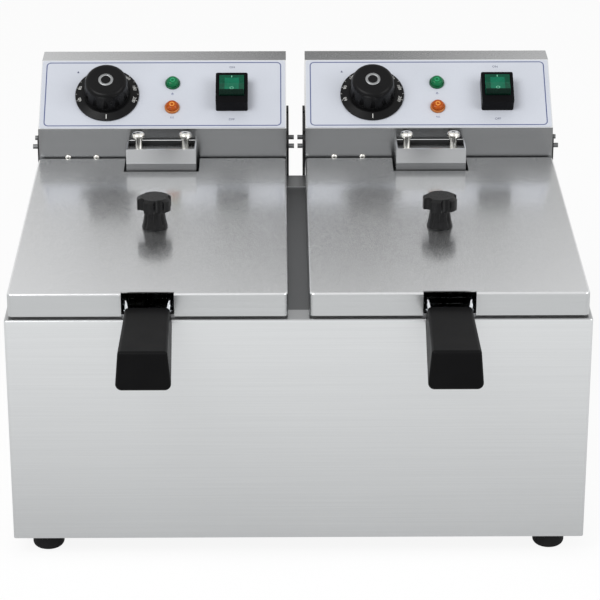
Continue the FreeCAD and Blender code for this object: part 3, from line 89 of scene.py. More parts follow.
def brushedStainless(name, look):
    material, tree, shader = newFinish(name, {"Metallic": 1.0, "Anisotropic": look["spread"]})
    place = addNode(tree, "ShaderNodeTexCoord").outputs["Object"]
    fine, run = perMetre / look["hairlineMm"], perMetre / look["runMm"]
    hairs = []
    for scale in ((run, fine, fine), (fine, run, fine)):
        spot = addNode(tree, "ShaderNodeMapping", {"Vector": place, "Scale": scale})
        hair = addNode(tree, "ShaderNodeTexNoise", {"Vector": spot.outputs[0], "Scale": 1.0, "Detail": 4.0})
        hairs.append(hair.outputs[0])
    # hairlines run side to side, and front to rear on faces that look sideways
    normal = addNode(tree, "ShaderNodeNewGeometry").outputs["Normal"]
    facing = addNode(tree, "ShaderNodeSeparateXYZ", {0: normal})
    aside = addNode(tree, "ShaderNodeMath", {0: facing.outputs["X"]}, operation="ABSOLUTE")
    turned = addNode(tree, "ShaderNodeMath", {0: aside.outputs[0], 1: look["sideways"]},
                     operation="GREATER_THAN")
    hairline = addNode(tree, "ShaderNodeMix", {0: turned.outputs[0], 2: hairs[0], 3: hairs[1]})
    wiped = addNode(tree, "ShaderNodeTexNoise", {
        "Vector": place, "Scale": perMetre / look["wipeMm"], "Detail": 2.0})
    tone = addNode(tree, "ShaderNodeValToRGB", {0: hairline.outputs[0]})
    for stop, spot, shade in zip(tone.color_ramp.elements, look["toneSpan"], ("valley", "ridge")):
        stop.position = spot
        stop.color = linear(look[shade])
    # faces that look up take another tone: painted light on lids, heads and necks, painted shade on casing
    # and strip
    low, high = look["paintedTopSpan"]
    level = addNode(tree, "ShaderNodeMapRange", {
        "Value": facing.outputs["Z"], "From Min": low, "From Max": high})
    tone = addNode(tree, "ShaderNodeMix", {
        0: level.outputs[0], 6: tone.outputs[0], 7: linear(look["top"])}, data_type="RGBA")
    scratch = addNode(tree, "ShaderNodeTexNoise", {
        "Vector": place, "Scale": perMetre / look["scratchMm"], "Detail": 1.0})
    rough = addNode(tree, "ShaderNodeMapRange", {
        "Value": scratch.outputs[0],
        "From Min": look["lands"] - look["landEdge"], "From Max": look["lands"] + look["landEdge"],
        "To Min": look["polish"][0], "To Max": look["polish"][1]})
    haze = addNode(tree, "ShaderNodeMath", {0: wiped.outputs[0], 1: look["haze"], 2: rough.outputs[0]},
                   operation="MULTIPLY_ADD")
    relief = addNode(tree, "ShaderNodeBump", {
        "Height": hairline.outputs[0], "Strength": look["relief"], "Distance": look["reliefMm"] * mm})
    tree.links.new(tone.outputs[2], shader.inputs["Base Color"])
    tree.links.new(haze.outputs[0], shader.inputs["Roughness"])
    tree.links.new(relief.outputs[0], shader.inputs["Normal"])
    # reflections spread across the hairlines
    across = addNode(tree, "ShaderNodeTangent", direction_type="RADIAL", axis="X")
    tree.links.new(across.outputs[0], shader.inputs["Tangent"])
    return material


# A speckled finish: two tones, roughness and relief from one noise at the size of the surface's grit.
speckle = {"cloudShare": 0.5, "span": (0.35, 0.65)}


def grained(name, look):
    surface = {"Metallic": look.get("metallic", 0.0)}
    if "gloss" in look:
        surface["Specular IOR Level"] = look["gloss"]
    material, tree, shader = newFinish(name, surface)
    place = addNode(tree, "ShaderNodeTexCoord").outputs["Object"]
    grit = addNode(tree, "ShaderNodeTexNoise", {
        "Vector": place, "Scale": perMetre / look["gritMm"], "Detail": 3.0, "Roughness": 0.6})
    cloud = addNode(tree, "ShaderNodeTexNoise", {
        "Vector": place, "Scale": perMetre / look["cloudMm"], "Detail": 2.0})
    blend = addNode(tree, "ShaderNodeMix", {
        0: speckle["cloudShare"], 2: grit.outputs[0], 3: cloud.outputs[0]})
    tone = addNode(tree, "ShaderNodeValToRGB", {0: blend.outputs[0]})
    for stop, spot, shade in zip(tone.color_ramp.elements, speckle["span"], ("dark", "light")):
        stop.position = spot
        stop.color = linear(look[shade])
    low, high = speckle["span"]
    rough = addNode(tree, "ShaderNodeMapRange", {
        "Value": blend.outputs[0], "From Min": low, "From Max": high,
        "To Min": look["polish"][0], "To Max": look["polish"][1]})
    relief = addNode(tree, "ShaderNodeBump", {
        "Height": grit.outputs[0], "Strength": look["relief"], "Distance": look["reliefMm"] * mm})
    tree.links.new(tone.outputs[0], shader.inputs["Base Color"])
    tree.links.new(rough.outputs[0], shader.inputs["Roughness"])
    tree.links.new(relief.outputs[0], shader.inputs["Normal"])
    return material


# What the printed and the clear moulded finishes share.
printedInk = {"gritMm": 0.4, "relief": 0.1, "reliefMm": 0.01}
clearMould = {"gritMm": 1.5, "cloudMm": 6, "relief": 0.05, "reliefMm": 0.02, "gloss": 0.2}
rockerMould = dict(clearMould, gritMm=2.0, cloudMm=10, gloss=0.12)

finishes = {
    # casing: pale and even, with wide soft reflections; its darker top is painted shade on ledges and top
    # bend
    "casingSteel": brushedStainless("brushedStainlessCasing", dict(
        beltPolish, valley="#dfe1e2", ridge="#e4e6e7", top="#acadae", polish=(0.28, 0.31), haze=0.04)),
    # lids: polished further, so that the heads show in their tops, which are lighter as painted light
    "lidSteel": brushedStainless("brushedStainlessLid", dict(
        beltPolish, valley="#c2c4c5", ridge="#c8cacb", top="#dadbdc", polish=(0.12, 0.36), lands=0.52,
        spread=0.3)),
    # heads: dark grey fronts, which are painted shade, under a top of painted light
    "headSteelShadeAndLight": brushedStainless("brushedStainlessHeadShadeAndLight", dict(
        beltPolish, valley="#848586", ridge="#8a8b8c", top="#e0e1e2")),
    # necks: a clear mid grey on every face, a little lighter on top as painted light
    "neckSteel": brushedStainless("brushedStainlessNeck", dict(
        beltPolish, valley="#bcbdbe", ridge="#c2c3c4", top="#cacbcc")),
    # the strip between the tanks, the guide studs and the neck hems: rougher sheet in a dark tone that is
    # painted shade
    "paintedShadeSteel": brushedStainless("roughStainlessPaintedShade", dict(
        beltPolish, valley="#757677", ridge="#808182", top="#676869", hairlineMm=1.2, runMm=90, wipeMm=60,
        polish=(0.32, 0.4), haze=0.06, relief=0.04, spread=0.4)),
    # deep-drawn stainless tub: satin, without hairlines, faint clouds from washing
    "tankSteel": grained("deepDrawnStainless", {
        "dark": "#b3b4b5", "light": "#c6c7c8", "gritMm": 0.8, "cloudMm": 60, "polish": (0.22, 0.32),
        "relief": 0.1, "reliefMm": 0.02, "metallic": 1.0}),
    # chromed steel wire: bright and cold, with sharp highlights along each wire
    "chromedWire": grained("chromedSteelWire", {
        "dark": "#cfd2d6", "light": "#e4e7ea", "gritMm": 2.0, "cloudMm": 30, "polish": (0.06, 0.14),
        "relief": 0.05, "reliefMm": 0.02, "metallic": 1.0}),
    # nickel alloy sheath of a heater, browned by heat, dull
    "elementSheath": grained("heatTintedNickelAlloy", {
        "dark": "#4c4741", "light": "#7a746c", "gritMm": 1.0, "cloudMm": 45, "polish": (0.34, 0.5),
        "relief": 0.2, "reliefMm": 0.03, "metallic": 1.0}),
    # nickel-plated screws: bright with a faint warm tone
    "platedScrew": grained("nickelPlatedSteel", {
        "dark": "#d9d6cf", "light": "#ecebe6", "gritMm": 0.6, "cloudMm": 8, "polish": (0.12, 0.2),
        "relief": 0.05, "reliefMm": 0.01, "metallic": 1.0}),
    # zinc-plated base plate, duller than the sheet above it
    "zincSheet": grained("zincPlatedSheet", {
        "dark": "#8f9395", "light": "#b0b4b6", "gritMm": 2.5, "cloudMm": 18, "polish": (0.35, 0.5),
        "relief": 0.1, "reliefMm": 0.02, "metallic": 1.0}),
    # powder-coated guide plates: deep black with a fine orange peel
    "powderCoat": grained("blackPowderCoat", {
        "dark": "#101011", "light": "#1b1b1c", "gritMm": 0.9, "cloudMm": 20, "polish": (0.35, 0.48),
        "relief": 0.3, "reliefMm": 0.04}),
    # moulded phenolic of the dials: black, polished by the mould, soft wide highlights
    "phenolic": grained("mouldedPhenolic", {
        "dark": "#0c0c0d", "light": "#121213", "gritMm": 0.7, "cloudMm": 14, "polish": (0.26, 0.36),
        "relief": 0.15, "reliefMm": 0.02, "gloss": 0.12}),
    # the star knobs were tumbled after moulding: a little greyer, with clearer edges of light
    "knobPhenolic": grained("tumbledPhenolic", {
        "dark": "#0e0e0f", "light": "#151516", "gritMm": 0.7, "cloudMm": 10, "polish": (0.24, 0.34),
        "relief": 0.15, "reliefMm": 0.02, "gloss": 0.18}),
    # the grips came from a spark-eroded mould: fine matt grain that hides finger marks
    "gripPhenolic": grained("sparkErodedPhenolic", {
        "dark": "#09090a", "light": "#0e0e0f", "gritMm": 0.8, "cloudMm": 25, "polish": (0.38, 0.48),
        "relief": 0.3, "reliefMm": 0.05, "gloss": 0.07}),
    # injection-moulded nylon of switch collar and gland: black, satin
    "blackNylon": grained("mouldedBlackNylon", {
        "dark": "#08080a", "light": "#0d0d0f", "gritMm": 0.6, "cloudMm": 12, "polish": (0.28, 0.4),
        "relief": 0.15, "reliefMm": 0.02, "gloss": 0.05}),
    # moulded nitrile rubber of feet and seals: matt, slightly bloomed
    "rubber": grained("mouldedNitrileRubber", {
        "dark": "#151516", "light": "#1e1e1f", "gritMm": 0.7, "cloudMm": 9, "polish": (0.55, 0.72),
        "relief": 0.3, "reliefMm": 0.05, "gloss": 0.2}),
    # screen-printed polyester sheet: cold pale grey, faint matt emboss
    "polyesterSheet": grained("screenPrintedPolyester", {
        "dark": "#c7cbd4", "light": "#cfd3dc", "gritMm": 0.7, "cloudMm": 70, "polish": (0.34, 0.42),
        "relief": 0.12, "reliefMm": 0.02, "gloss": 0.3}),
    # screen inks of the panels: flat colour, a little thinner in places
    "blueInk": grained("blueScreenInk", dict(
        printedInk, dark="#434e7c", light="#4e5986", cloudMm=15, polish=(0.4, 0.5))),
    "darkInk": grained("slateScreenInk", dict(
        printedInk, dark="#39405f", light="#454c6c", cloudMm=10, polish=(0.4, 0.5))),
    # pad-printed figures: chalky white
    "whiteInk": grained("whitePadPrintInk", dict(
        printedInk, dark="#cdcdca", light="#e2e2df", cloudMm=6, polish=(0.45, 0.55))),
    # tinted polycarbonate: colour goes deep into the plastic, glossy skin
    "greenLens": grained("greenPolycarbonateLens", dict(
        clearMould, dark="#076038", light="#0c7446", polish=(0.08, 0.16))),
    # a lens's rim is darker where green, painted shade at the edge of its dome, and paler where amber
    "greenRimShade": grained("greenPolycarbonateRimShade", dict(
        clearMould, dark="#07472a", light="#0b5a35", polish=(0.12, 0.2))),
    "amberLens": grained("amberPolycarbonateLens", dict(
        clearMould, dark="#9c4006", light="#b8560c", polish=(0.08, 0.16))),
    "amberRim": grained("amberPolycarbonateRim", dict(
        clearMould, dark="#b9733c", light="#c98850", polish=(0.12, 0.2))),
    # a lens's moulded top ring is coloured light, a painted highlight that looks lit
    "greenGlint": grained("greenLensPaintedGlint", dict(
        clearMould, dark="#1d8f5c", light="#35a874", gritMm=1.0, cloudMm=3, polish=(0.1, 0.18))),
    "amberGlint": grained("amberLensPaintedGlint", dict(
        clearMould, dark="#e08a34", light="#f5a850", gritMm=1.0, cloudMm=3, polish=(0.1, 0.18))),
    # rockers: deep green window; flanks, brow and foot are darker copies, painted shade where the rocker lies
    # in the collar's shade
    "greenRocker": grained("greenPolycarbonateRocker", dict(
        rockerMould, dark="#0a5f45", light="#0f7154", polish=(0.16, 0.24))),
    "rockerFlankShade": grained("greenRockerPaintedShade", dict(
        rockerMould, dark="#06402e", light="#0a5039", polish=(0.2, 0.3))),
    "rockerFootShade": grained("greenRockerFootPaintedShade", dict(
        rockerMould, dark="#041a13", light="#06241a", polish=(0.2, 0.3))),
    # pad-printed marks of the rockers: white that the green plastic tints
    "paleInk": grained("palePadPrintInk", dict(
        printedInk, dark="#5fae8f", light="#74c0a2", cloudMm=6, polish=(0.45, 0.55))),
    # natural nylon of the inner fittings: cream, waxy
    "paleNylon": grained("naturalNylon", {
        "dark": "#cfc9b8", "light": "#ded9ca", "gritMm": 1.0, "cloudMm": 12, "polish": (0.35, 0.45),
        "relief": 0.1, "reliefMm": 0.02}),
    # bottom of a cross recess, where little light comes
    "recessShade": grained("shadowedRecess", {
        "dark": "#1c1b1a", "light": "#2a2928", "gritMm": 0.5, "cloudMm": 3, "polish": (0.5, 0.6),
        "relief": 0.1, "reliefMm": 0.01}),
    # spun aluminium ring let into the dial: soft grey sheen
    "spunAluminium": grained("spunAluminium", {
        "dark": "#858687", "light": "#989a9b", "gritMm": 0.3, "cloudMm": 5, "polish": (0.38, 0.48),
        "relief": 0.1, "reliefMm": 0.01, "metallic": 1.0}),
}
print("finishes made:", len(finishes))

nodeFinish = {  # finish of each CAD piece, by its name without the side
    "casing": "casingSteel", "base_plate": "zincSheet", "centre_divider": "paintedShadeSteel", "feet": "rubber",
    "foot_screws": "platedScrew", "head_guide_plates": "powderCoat",
    "oil_tank": "tankSteel", "head_housing": "headSteelShadeAndLight", "head_rear_cover": "headSteelShadeAndLight",
    "panel_overlay": "polyesterSheet", "thermostat": "zincSheet", "power_lamp": "greenLens",
    "heat_lamp": "amberLens", "switch_frame": "blackNylon", "element_neck": "neckSteel",
    "neck_screws": "platedScrew", "heating_element": "elementSheath", "element_bars": "tankSteel",
    "sensor_bulbs": "platedScrew", "limiter": "zincSheet", "terminal_block": "paleNylon",
    "face_screws": "platedScrew", "guide_studs": "paintedShadeSteel", "cord_gland": "blackNylon",
    "dial_knob": "phenolic", "dial_spindle": "platedScrew", "rocker": "greenRocker",
    "basket_mesh": "chromedWire", "basket_frame": "chromedWire", "basket_grip": "gripPhenolic",
    "lid": "lidSteel", "lid_knob": "knobPhenolic", "lid_knob_screw": "platedScrew",
}
for name, piece in nodes.items():
    plain = name.removeprefix("left_").removeprefix("right_")
    for slot in piece.material_slots:
        slot.material = finishes[nodeFinish[plain]]
print("finishes on CAD pieces:", len(nodes))


def plainMesh(holder):  # the evaluated shape as a plain mesh; the holder goes
    shape = holder.evaluated_get(bpy.context.evaluated_depsgraph_get())
    mesh = bpy.data.meshes.new_from_object(shape)
    bpy.data.objects.remove(holder)
    return mesh


def addPiece(name, parts, body, finish):  # parts are (mesh, place); one object at the origin
    form = bmesh.new()
    for mesh, spot in parts:
        mesh.transform(spot)
        form.from_mesh(mesh)
    whole = bpy.data.meshes.new(name)
    form.to_mesh(whole)
    form.free()
    whole.materials.append(finishes[finish])
    piece = bpy.data.objects.new(name, whole)
    scene.collection.objects.link(piece)
    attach(piece, body)
    return piece


def flatShape(loops, thick):  # closed outlines in the XY plane, in metres, filled and given a thickness
    curve = bpy.data.curves.new("outline", "CURVE")
    curve.dimensions = "2D"
    curve.fill_mode = "BOTH"
    curve.extrude = thick / 2
    for loop in loops:
        line = curve.splines.new("POLY")
        line.points.add(len(loop) - 1)
        for point, (x, y) in zip(line.points, loop):
            point.co = (x, y, 0, 1)
        line.use_cyclic_u = True
    holder = bpy.data.objects.new("outline", curve)
    scene.collection.objects.link(holder)
    return plainMesh(holder)


capShare = 0.69  # capitals of the built-in font, as a share of its size


def wordShape(text, height, thick):  # lettering centred on its own middle
    curve = bpy.data.curves.new("word", "FONT")
    curve.body = text
    curve.size = height / capShare
    curve.align_x = "CENTER"
    curve.align_y = "CENTER"
    curve.extrude = thick / 2
    curve.resolution_u = 3
    holder = bpy.data.objects.new("word", curve)
    scene.collection.objects.link(holder)
    return plainMesh(holder)


def turnedShape(profile, steps=48):  # (radius, height) points in metres turned round Z, closed loop
    form = bmesh.new()
    rings = []
    for k in range(steps):
        a = 2 * math.pi * k / steps
        rings.append([form.verts.new((r * math.cos(a), r * math.sin(a), h)) for r, h in profile])
    for k in range(steps):
        one, two = rings[k], rings[(k + 1) % steps]
        for i in range(len(profile)):
            j = (i + 1) % len(profile)
            form.faces.new((one[i], two[i], two[j], one[j]))
    bmesh.ops.recalc_face_normals(form, faces=form.faces)
    for face in form.faces:
        face.smooth = True
    mesh = bpy.data.meshes.new("turned")
    form.to_mesh(mesh)
    form.free()
    return mesh


fewSteps = 3  # steps round a corner that is smaller than a millimetre


def roundedLoop(width, height, radius, steps=fewSteps):
    points = []
    for k, (sx, sy) in enumerate(((1, 1), (-1, 1), (-1, -1), (1, -1))):
        for i in range(steps + 1):
            a = math.pi / 2 * (k + i / steps)
            points.append((sx * (width / 2 - radius) + radius * math.cos(a),
                           sy * (height / 2 - radius) + radius * math.sin(a)))
    return points


def ringLoop(radius, steps=40):
    return [(radius * math.cos(2 * math.pi * k / steps), radius * math.sin(2 * math.pi * k / steps))
            for k in range(steps)]


# The sloped panel: its lower front edge, its slope, and where its fittings stand on it, in mm.
panel = {"footY": 181.0, "footZ": 310.7, "run": 76.0, "rise": 52.3, "sheet": 0.5,
         "dial": (-60.5, 44.0), "powerLamp": (10.0, 60.0), "heatLamp": (10.0, 27.5),
         "switch": (74.4, 43.0), "rocker": (74.4, 45.8)}
panelSlope = math.atan2(panel["rise"], panel["run"])
panelLength = math.hypot(panel["rise"], panel["run"])


def onPanel(side, x, up, out=0.0):  # place on a panel, in mm across, up the slope and out of it
    foot = Matrix.Translation((unitX[side], panel["footY"] * mm, panel["footZ"] * mm))
    spot = Matrix.Translation((x * mm, up * mm, out * mm))
    return foot @ Matrix.Rotation(panelSlope, 4, "X") @ spot


# Printing on the panel sheet: border line, ON and OFF, lamp signs and the dial's marker.
panelPrint = {"halfWidth": 132.0, "inset": 4.2, "spare": 2.0, "line": 1.1, "corner": 5.0, "cornerSteps": 8,
              "ink": 0.06, "word": 2.6, "onUp": 39.0, "offUp": -31.3,
              "marker": 2.6, "markerSpot": (-32.5, 32.0),
              "sign": 2.4, "signGap": 14.0, "signLine": 0.45, "overprint": 0.01,
              "barWidth": 0.5, "barShare": 0.7, "barCorner": 0.2, "barUp": 0.4,
              "heatLift": 1.0, "waves": (-1.4, 0.0, 1.4), "waveSwing": 0.3, "waveLine": 0.44, "waveSteps": 12}


def printPanel(side):
    look = panelPrint
    level = panel["sheet"] + look["ink"] / 2
    thick = look["ink"] * mm
    width = 2 * (look["halfWidth"] - look["inset"]) * mm
    height = (panelLength - 2 * look["inset"] + look["spare"]) * mm
    line, corner, steps = look["line"] * mm, look["corner"] * mm, look["cornerSteps"]
    border = flatShape([roundedLoop(width, height, corner, steps),
                        roundedLoop(width - 2 * line, height - 2 * line, corner - line, steps)], thick)
    addPiece(side + "_panel_border", [(border, onPanel(side, 0, panelLength / 2, level))],
             side + "_head", "blueInk")
    x, up = panel["switch"]
    words = [(wordShape("ON", look["word"] * mm, thick), onPanel(side, x, up + look["onUp"], level)),
             (wordShape("OFF", look["word"] * mm, thick), onPanel(side, x, up + look["offUp"], level))]
    size = look["marker"] * mm
    arrow = flatShape([[(-size / 2, -size / 2), (size / 2, -size / 2), (0, size / 2)]], thick)
    x, up = panel["dial"]
    dx, dup = look["markerSpot"]
    words.append((arrow, onPanel(side, x + dx, up + dup, level)))
    addPiece(side + "_panel_words", words, side + "_head", "darkInk")
    # power: a ring with a bar through its top
    sign = look["sign"] * mm
    ring = flatShape([ringLoop(sign / 2), ringLoop(sign / 2 - look["signLine"] * mm)], thick)
    width, length = look["barWidth"] * mm, sign * look["barShare"]
    bar = flatShape([roundedLoop(width, length, look["barCorner"] * mm)], thick)
    x, up = panel["powerLamp"]
    under = up - look["signGap"]
    signs = [(ring, onPanel(side, x, under, level)),
             (bar, onPanel(side, x, under + look["sign"] * look["barUp"], level + look["overprint"]))]
    # heat: three rising waves
    x, up = panel["heatLamp"]
    under = up - look["signGap"] + look["heatLift"]
    swing, half, steps = look["waveSwing"] * mm, look["waveLine"] / 2 * mm, look["waveSteps"]
    wave = [(swing * math.sin(2 * math.pi * i / steps), sign * (i / steps - 0.5)) for i in range(steps + 1)]
    loop = [(a - half, b) for a, b in wave] + [(a + half, b) for a, b in reversed(wave)]
    for dx in look["waves"]:
        signs.append((flatShape([loop], thick), onPanel(side, x + dx, under, level)))
    addPiece(side + "_lamp_signs", signs, side + "_head", "blueInk")


for side in unitX:
    printPanel(side)
print("panel printing done")

# Dial: temperature figures, ticks and an index line on the skirt's cone, and a ring on its top.
# Cone and ring are (radius, height) points in mm.
dialPrint = {"seat": 0.6, "coneFoot": (34.5, 1.6), "coneTop": (26.75, 4.0), "ink": 0.06,
             "figures": range(60, 201, 20), "firstAngle": 195, "stepAngle": -30, "figureHeight": 3.4,
             "figureRadius": 30.2, "index": (0.8, 5.0), "indexCorner": 0.3, "indexRadius": 30.4,
             "indexAngle": -90, "ticks": 15, "tick": (0.4, 1.6), "tickRadius": 33.4, "ringLevel": 27.7,
             "ring": ((5.45, 0.0), (7.15, 0.0), (7.15, 0.34), (8.05, 0.34), (7.95, 0.6), (6.3, 0.7),
                      (5.25, 0.6), (5.15, 0.34), (5.45, 0.34))}
coneSlope = math.atan2(dialPrint["coneTop"][1] - dialPrint["coneFoot"][1],
                       dialPrint["coneFoot"][0] - dialPrint["coneTop"][0])


def coneLevel(radius):  # height of the skirt's cone at a radius, in mm
    (r0, h0), (r1, h1) = dialPrint["coneFoot"], dialPrint["coneTop"]
    return h0 + (h1 - h0) * (r0 - radius) / (r0 - r1)


def dialAxis(side):
    return onPanel(side, *panel["dial"], panel["sheet"] + dialPrint["seat"])


def onDial(side, radius, angle):  # on the skirt's cone, turned so that the outer side is the foot of a figure
    spin = Matrix.Rotation(angle - math.pi / 2, 4, "Z")
    lift = Matrix.Translation((0, radius * mm, coneLevel(radius) * mm)) @ Matrix.Rotation(-coneSlope, 4, "X")
    return dialAxis(side) @ spin @ lift


def newTree(name, inputs):  # a Geometry Nodes tree with its named inputs
    tree = bpy.data.node_groups.new(name, "GeometryNodeTree")
    tree.interface.new_socket("Geometry", in_out="OUTPUT", socket_type="NodeSocketGeometry")
    for socket, kind in inputs.items():
        tree.interface.new_socket(socket, in_out="INPUT", socket_type="NodeSocket" + kind)
    return tree, addNode(tree, "NodeGroupInput").outputs


def closeTree(tree, instances, finish):  # a tree ends in real geometry with its finish
    real = addNode(tree, "GeometryNodeRealizeInstances", {0: instances})
    done = addNode(tree, "GeometryNodeSetMaterial", {"Geometry": real.outputs[0], "Material": finish})
    addNode(tree, "NodeGroupOutput", {0: done.outputs[0]})
    return tree


def grown(tree, values, base=None):  # a tree's result with its named inputs set, as a plain mesh
    mesh = base or bpy.data.meshes.new("seed")
    holder = bpy.data.objects.new("seed", mesh)
    scene.collection.objects.link(holder)
    growth = holder.modifiers.new("growth", "NODES")
    growth.node_group = tree
    for item in tree.interface.items_tree:
        if item.in_out == "INPUT" and item.name in values:
            growth[item.identifier] = values[item.name]
    bpy.context.view_layer.update()
    return plainMesh(holder)


# tick marks along the scale: one bar instanced round the dial's axis, tilted to the cone
def tickTree():
    tree, given = newTree("dialTicks", {
        "Count": "Int", "Radius": "Float", "Level": "Float", "Tilt": "Float", "Start": "Float",
        "Step": "Float", "Bar": "Vector", "Ink": "Material"})
    bar = addNode(tree, "GeometryNodeMeshCube", {"Size": given["Bar"]})
    spot = addNode(tree, "ShaderNodeCombineXYZ", {"X": given["Radius"], "Z": given["Level"]})
    lean = addNode(tree, "ShaderNodeCombineXYZ", {"Y": given["Tilt"]})
    placed = addNode(tree, "GeometryNodeTransform", {
        "Geometry": bar.outputs[0], "Translation": spot.outputs[0], "Rotation": lean.outputs[0]})
    line = addNode(tree, "GeometryNodeMeshLine", {"Count": given["Count"], "Offset": (0, 0, 0)})
    order = addNode(tree, "GeometryNodeInputIndex")
    turn = addNode(tree, "ShaderNodeMath", {0: order.outputs[0], 1: given["Step"], 2: given["Start"]},
                   operation="MULTIPLY_ADD")
    spin = addNode(tree, "ShaderNodeCombineXYZ", {"Z": turn.outputs[0]})
    ticks = addNode(tree, "GeometryNodeInstanceOnPoints", {
        "Points": line.outputs[0], "Instance": placed.outputs[0], "Rotation": spin.outputs[0]})
    return closeTree(tree, ticks.outputs[0], given["Ink"])


dialTicks = tickTree()


def printDial(side):
    look = dialPrint
    thick = look["ink"] * mm
    parts = []
    for k, figure in enumerate(look["figures"]):
        angle = math.radians(look["firstAngle"] + look["stepAngle"] * k)
        word = wordShape(str(figure), look["figureHeight"] * mm, thick)
        parts.append((word, onDial(side, look["figureRadius"], angle)))
    width, length = [value * mm for value in look["index"]]
    bar = flatShape([roundedLoop(width, length, look["indexCorner"] * mm)], thick)
    parts.append((bar, onDial(side, look["indexRadius"], math.radians(look["indexAngle"]))))
    width, length = [value * mm for value in look["tick"]]
    ticks = grown(dialTicks, {
        "Count": look["ticks"], "Radius": look["tickRadius"] * mm,
        "Level": coneLevel(look["tickRadius"]) * mm, "Tilt": coneSlope,
        "Start": math.radians(look["firstAngle"]),
        "Step": math.radians(look["stepAngle"]) / 2,  # one at each figure and one between
        "Bar": (length, width, thick), "Ink": finishes["whiteInk"]})
    parts.append((ticks, dialAxis(side)))
    addPiece(side + "_dial_figures", parts, side + "_dial", "whiteInk")
    ring = turnedShape([(radius * mm, (look["ringLevel"] + height) * mm) for radius, height in look["ring"]])
    addPiece(side + "_dial_ring", [(ring, dialAxis(side))], side + "_dial", "spunAluminium")


for side in unitX:
    printDial(side)
print("dials printed")

# Lamps: a rim round each lens, darker on the green lamp as painted shade, and a moulded ring on its flat top,
# coloured as a painted highlight.
lampRim = {"inner": 6.6, "outer": 8.1, "height": 2.6, "edge": 0.5, "eye": (1.4, 3.0), "eyeLevel": 6.9,
           "eyeRise": 0.4}


def dressLamp(side, spot, label, rimFinish, glintFinish):
    look = lampRim
    inner, outer, top, edge = [look[key] * mm for key in ("inner", "outer", "height", "edge")]
    rim = turnedShape([(inner, 0), (outer, 0), (outer, top - 2 * edge), (outer - edge, top - edge / 2),
                       (inner + edge, top), (inner, top - edge / 2)])
    addPiece(side + "_" + label + "_rim", [(rim, onPanel(side, *spot, panel["sheet"]))],
             side + "_head", rimFinish)
    # the top ring's light colour is a painted highlight
    inner, outer = [radius * mm for radius in look["eye"]]
    low, high = look["eyeLevel"] * mm, (look["eyeLevel"] + look["eyeRise"]) * mm
    eye = turnedShape([(inner, low), (outer, low), ((inner + 2 * outer) / 3, high),
                       ((2 * inner + outer) / 3, high)])
    addPiece(side + "_" + label + "_eye", [(eye, onPanel(side, *spot, panel["sheet"]))],
             side + "_head", glintFinish)


for side in unitX:
    dressLamp(side, panel["powerLamp"], "power_lamp", "greenRimShade", "greenGlint")
    dressLamp(side, panel["heatLamp"], "heat_lamp", "amberRim", "amberGlint")
print("lamps dressed")

# Rocker: bar and ring marks on its two slopes, and painted shade: darker flanks and brow round a lit window,
# and a dark foot.
rockerPrint = {"pivot": 12.0, "tilt": 9.0, "valley": 7.0, "shoulder": 8.6, "reach": 14.8, "ink": 0.06,
               "bar": (1.1, 2.4), "barAt": 9.0, "ring": 2.2, "ringLine": 0.75, "ringAt": 8.5,
               "markCorner": 0.3, "flank": (5.4, 10.4), "flankAt": (10.4, 5.4), "brow": (15.4, 3.2),
               "browAt": 9.0, "shadeCorner": 0.4, "drum": 13.6, "footAngles": (142.0, 176.0),
               "footSteps": 12, "footSkin": 0.12, "footRoot": 0.2, "footWidth": 26.2}


def rockerRest(side):  # the rocker's pivot, turned as it rests
    pivot = onPanel(side, *panel["rocker"], rockerPrint["pivot"])
    return pivot @ Matrix.Rotation(math.radians(-rockerPrint["tilt"]), 4, "X")


def onRocker(side, x, along, lift):  # on the rocker's upper slope (along > 0) or lower slope, in mm
    look = rockerPrint
    slope = math.atan2(look["shoulder"] - look["valley"], look["reach"])
    level = look["valley"] + abs(along) * math.tan(slope) + lift
    lean = Matrix.Rotation(math.copysign(slope, along), 4, "X")
    return rockerRest(side) @ Matrix.Translation((x * mm, along * mm, level * mm)) @ lean


def printRocker(side):
    look = rockerPrint
    ink = look["ink"]
    thick, corner = ink * mm, look["markCorner"] * mm
    width, length = [value * mm for value in look["bar"]]
    bar = flatShape([roundedLoop(width, length, corner)], thick)
    ring = flatShape([ringLoop(look["ring"] * mm), ringLoop((look["ring"] - look["ringLine"]) * mm)], thick)
    marks = [(bar, onRocker(side, 0, look["barAt"], ink * 1.5)),  # over the brow's own ink
             (ring, onRocker(side, 0, -look["ringAt"], ink / 2))]
    addPiece(side + "_rocker_marks", marks, side + "_rocker", "paleInk")
    # painted shade: darker flank and brow sheets round the lit window
    corner = look["shadeCorner"] * mm
    width, length = [value * mm for value in look["flank"]]
    x, along = look["flankAt"]
    shades = []
    for end in (-1, 1):
        for edge in (-1, 1):
            flank = flatShape([roundedLoop(width, length, corner)], thick)
            shades.append((flank, onRocker(side, edge * x, end * along, ink / 2)))
    width, length = [value * mm for value in look["brow"]]
    brow = flatShape([roundedLoop(width, length, corner)], thick)
    shades.append((brow, onRocker(side, 0, look["browAt"], ink / 2)))
    addPiece(side + "_rocker_shades", shades, side + "_rocker", "rockerFlankShade")
    # the foot, dark as painted shade, follows the drum below the lower slope
    first, last = look["footAngles"]
    arc = []
    for k in range(look["footSteps"] + 1):
        a = math.radians(first + (last - first) * k / look["footSteps"])
        arc.append((math.cos(a), math.sin(a)))
    outer, inner = (look["drum"] + look["footSkin"]) * mm, (look["drum"] - look["footRoot"]) * mm
    loop = [(outer * c, outer * d) for c, d in arc] + [(inner * c, inner * d) for c, d in reversed(arc)]
    foot = flatShape([loop], look["footWidth"] * mm)
    sideways = Matrix(((0, 0, 1, 0), (1, 0, 0, 0), (0, 1, 0, 0), (0, 0, 0, 1)))  # thickness goes across
    addPiece(side + "_rocker_foot_shade", [(foot, rockerRest(side) @ sideways)],
             side + "_rocker", "rockerFootShade")


for side in unitX:
    printRocker(side)
print("rockers marked")

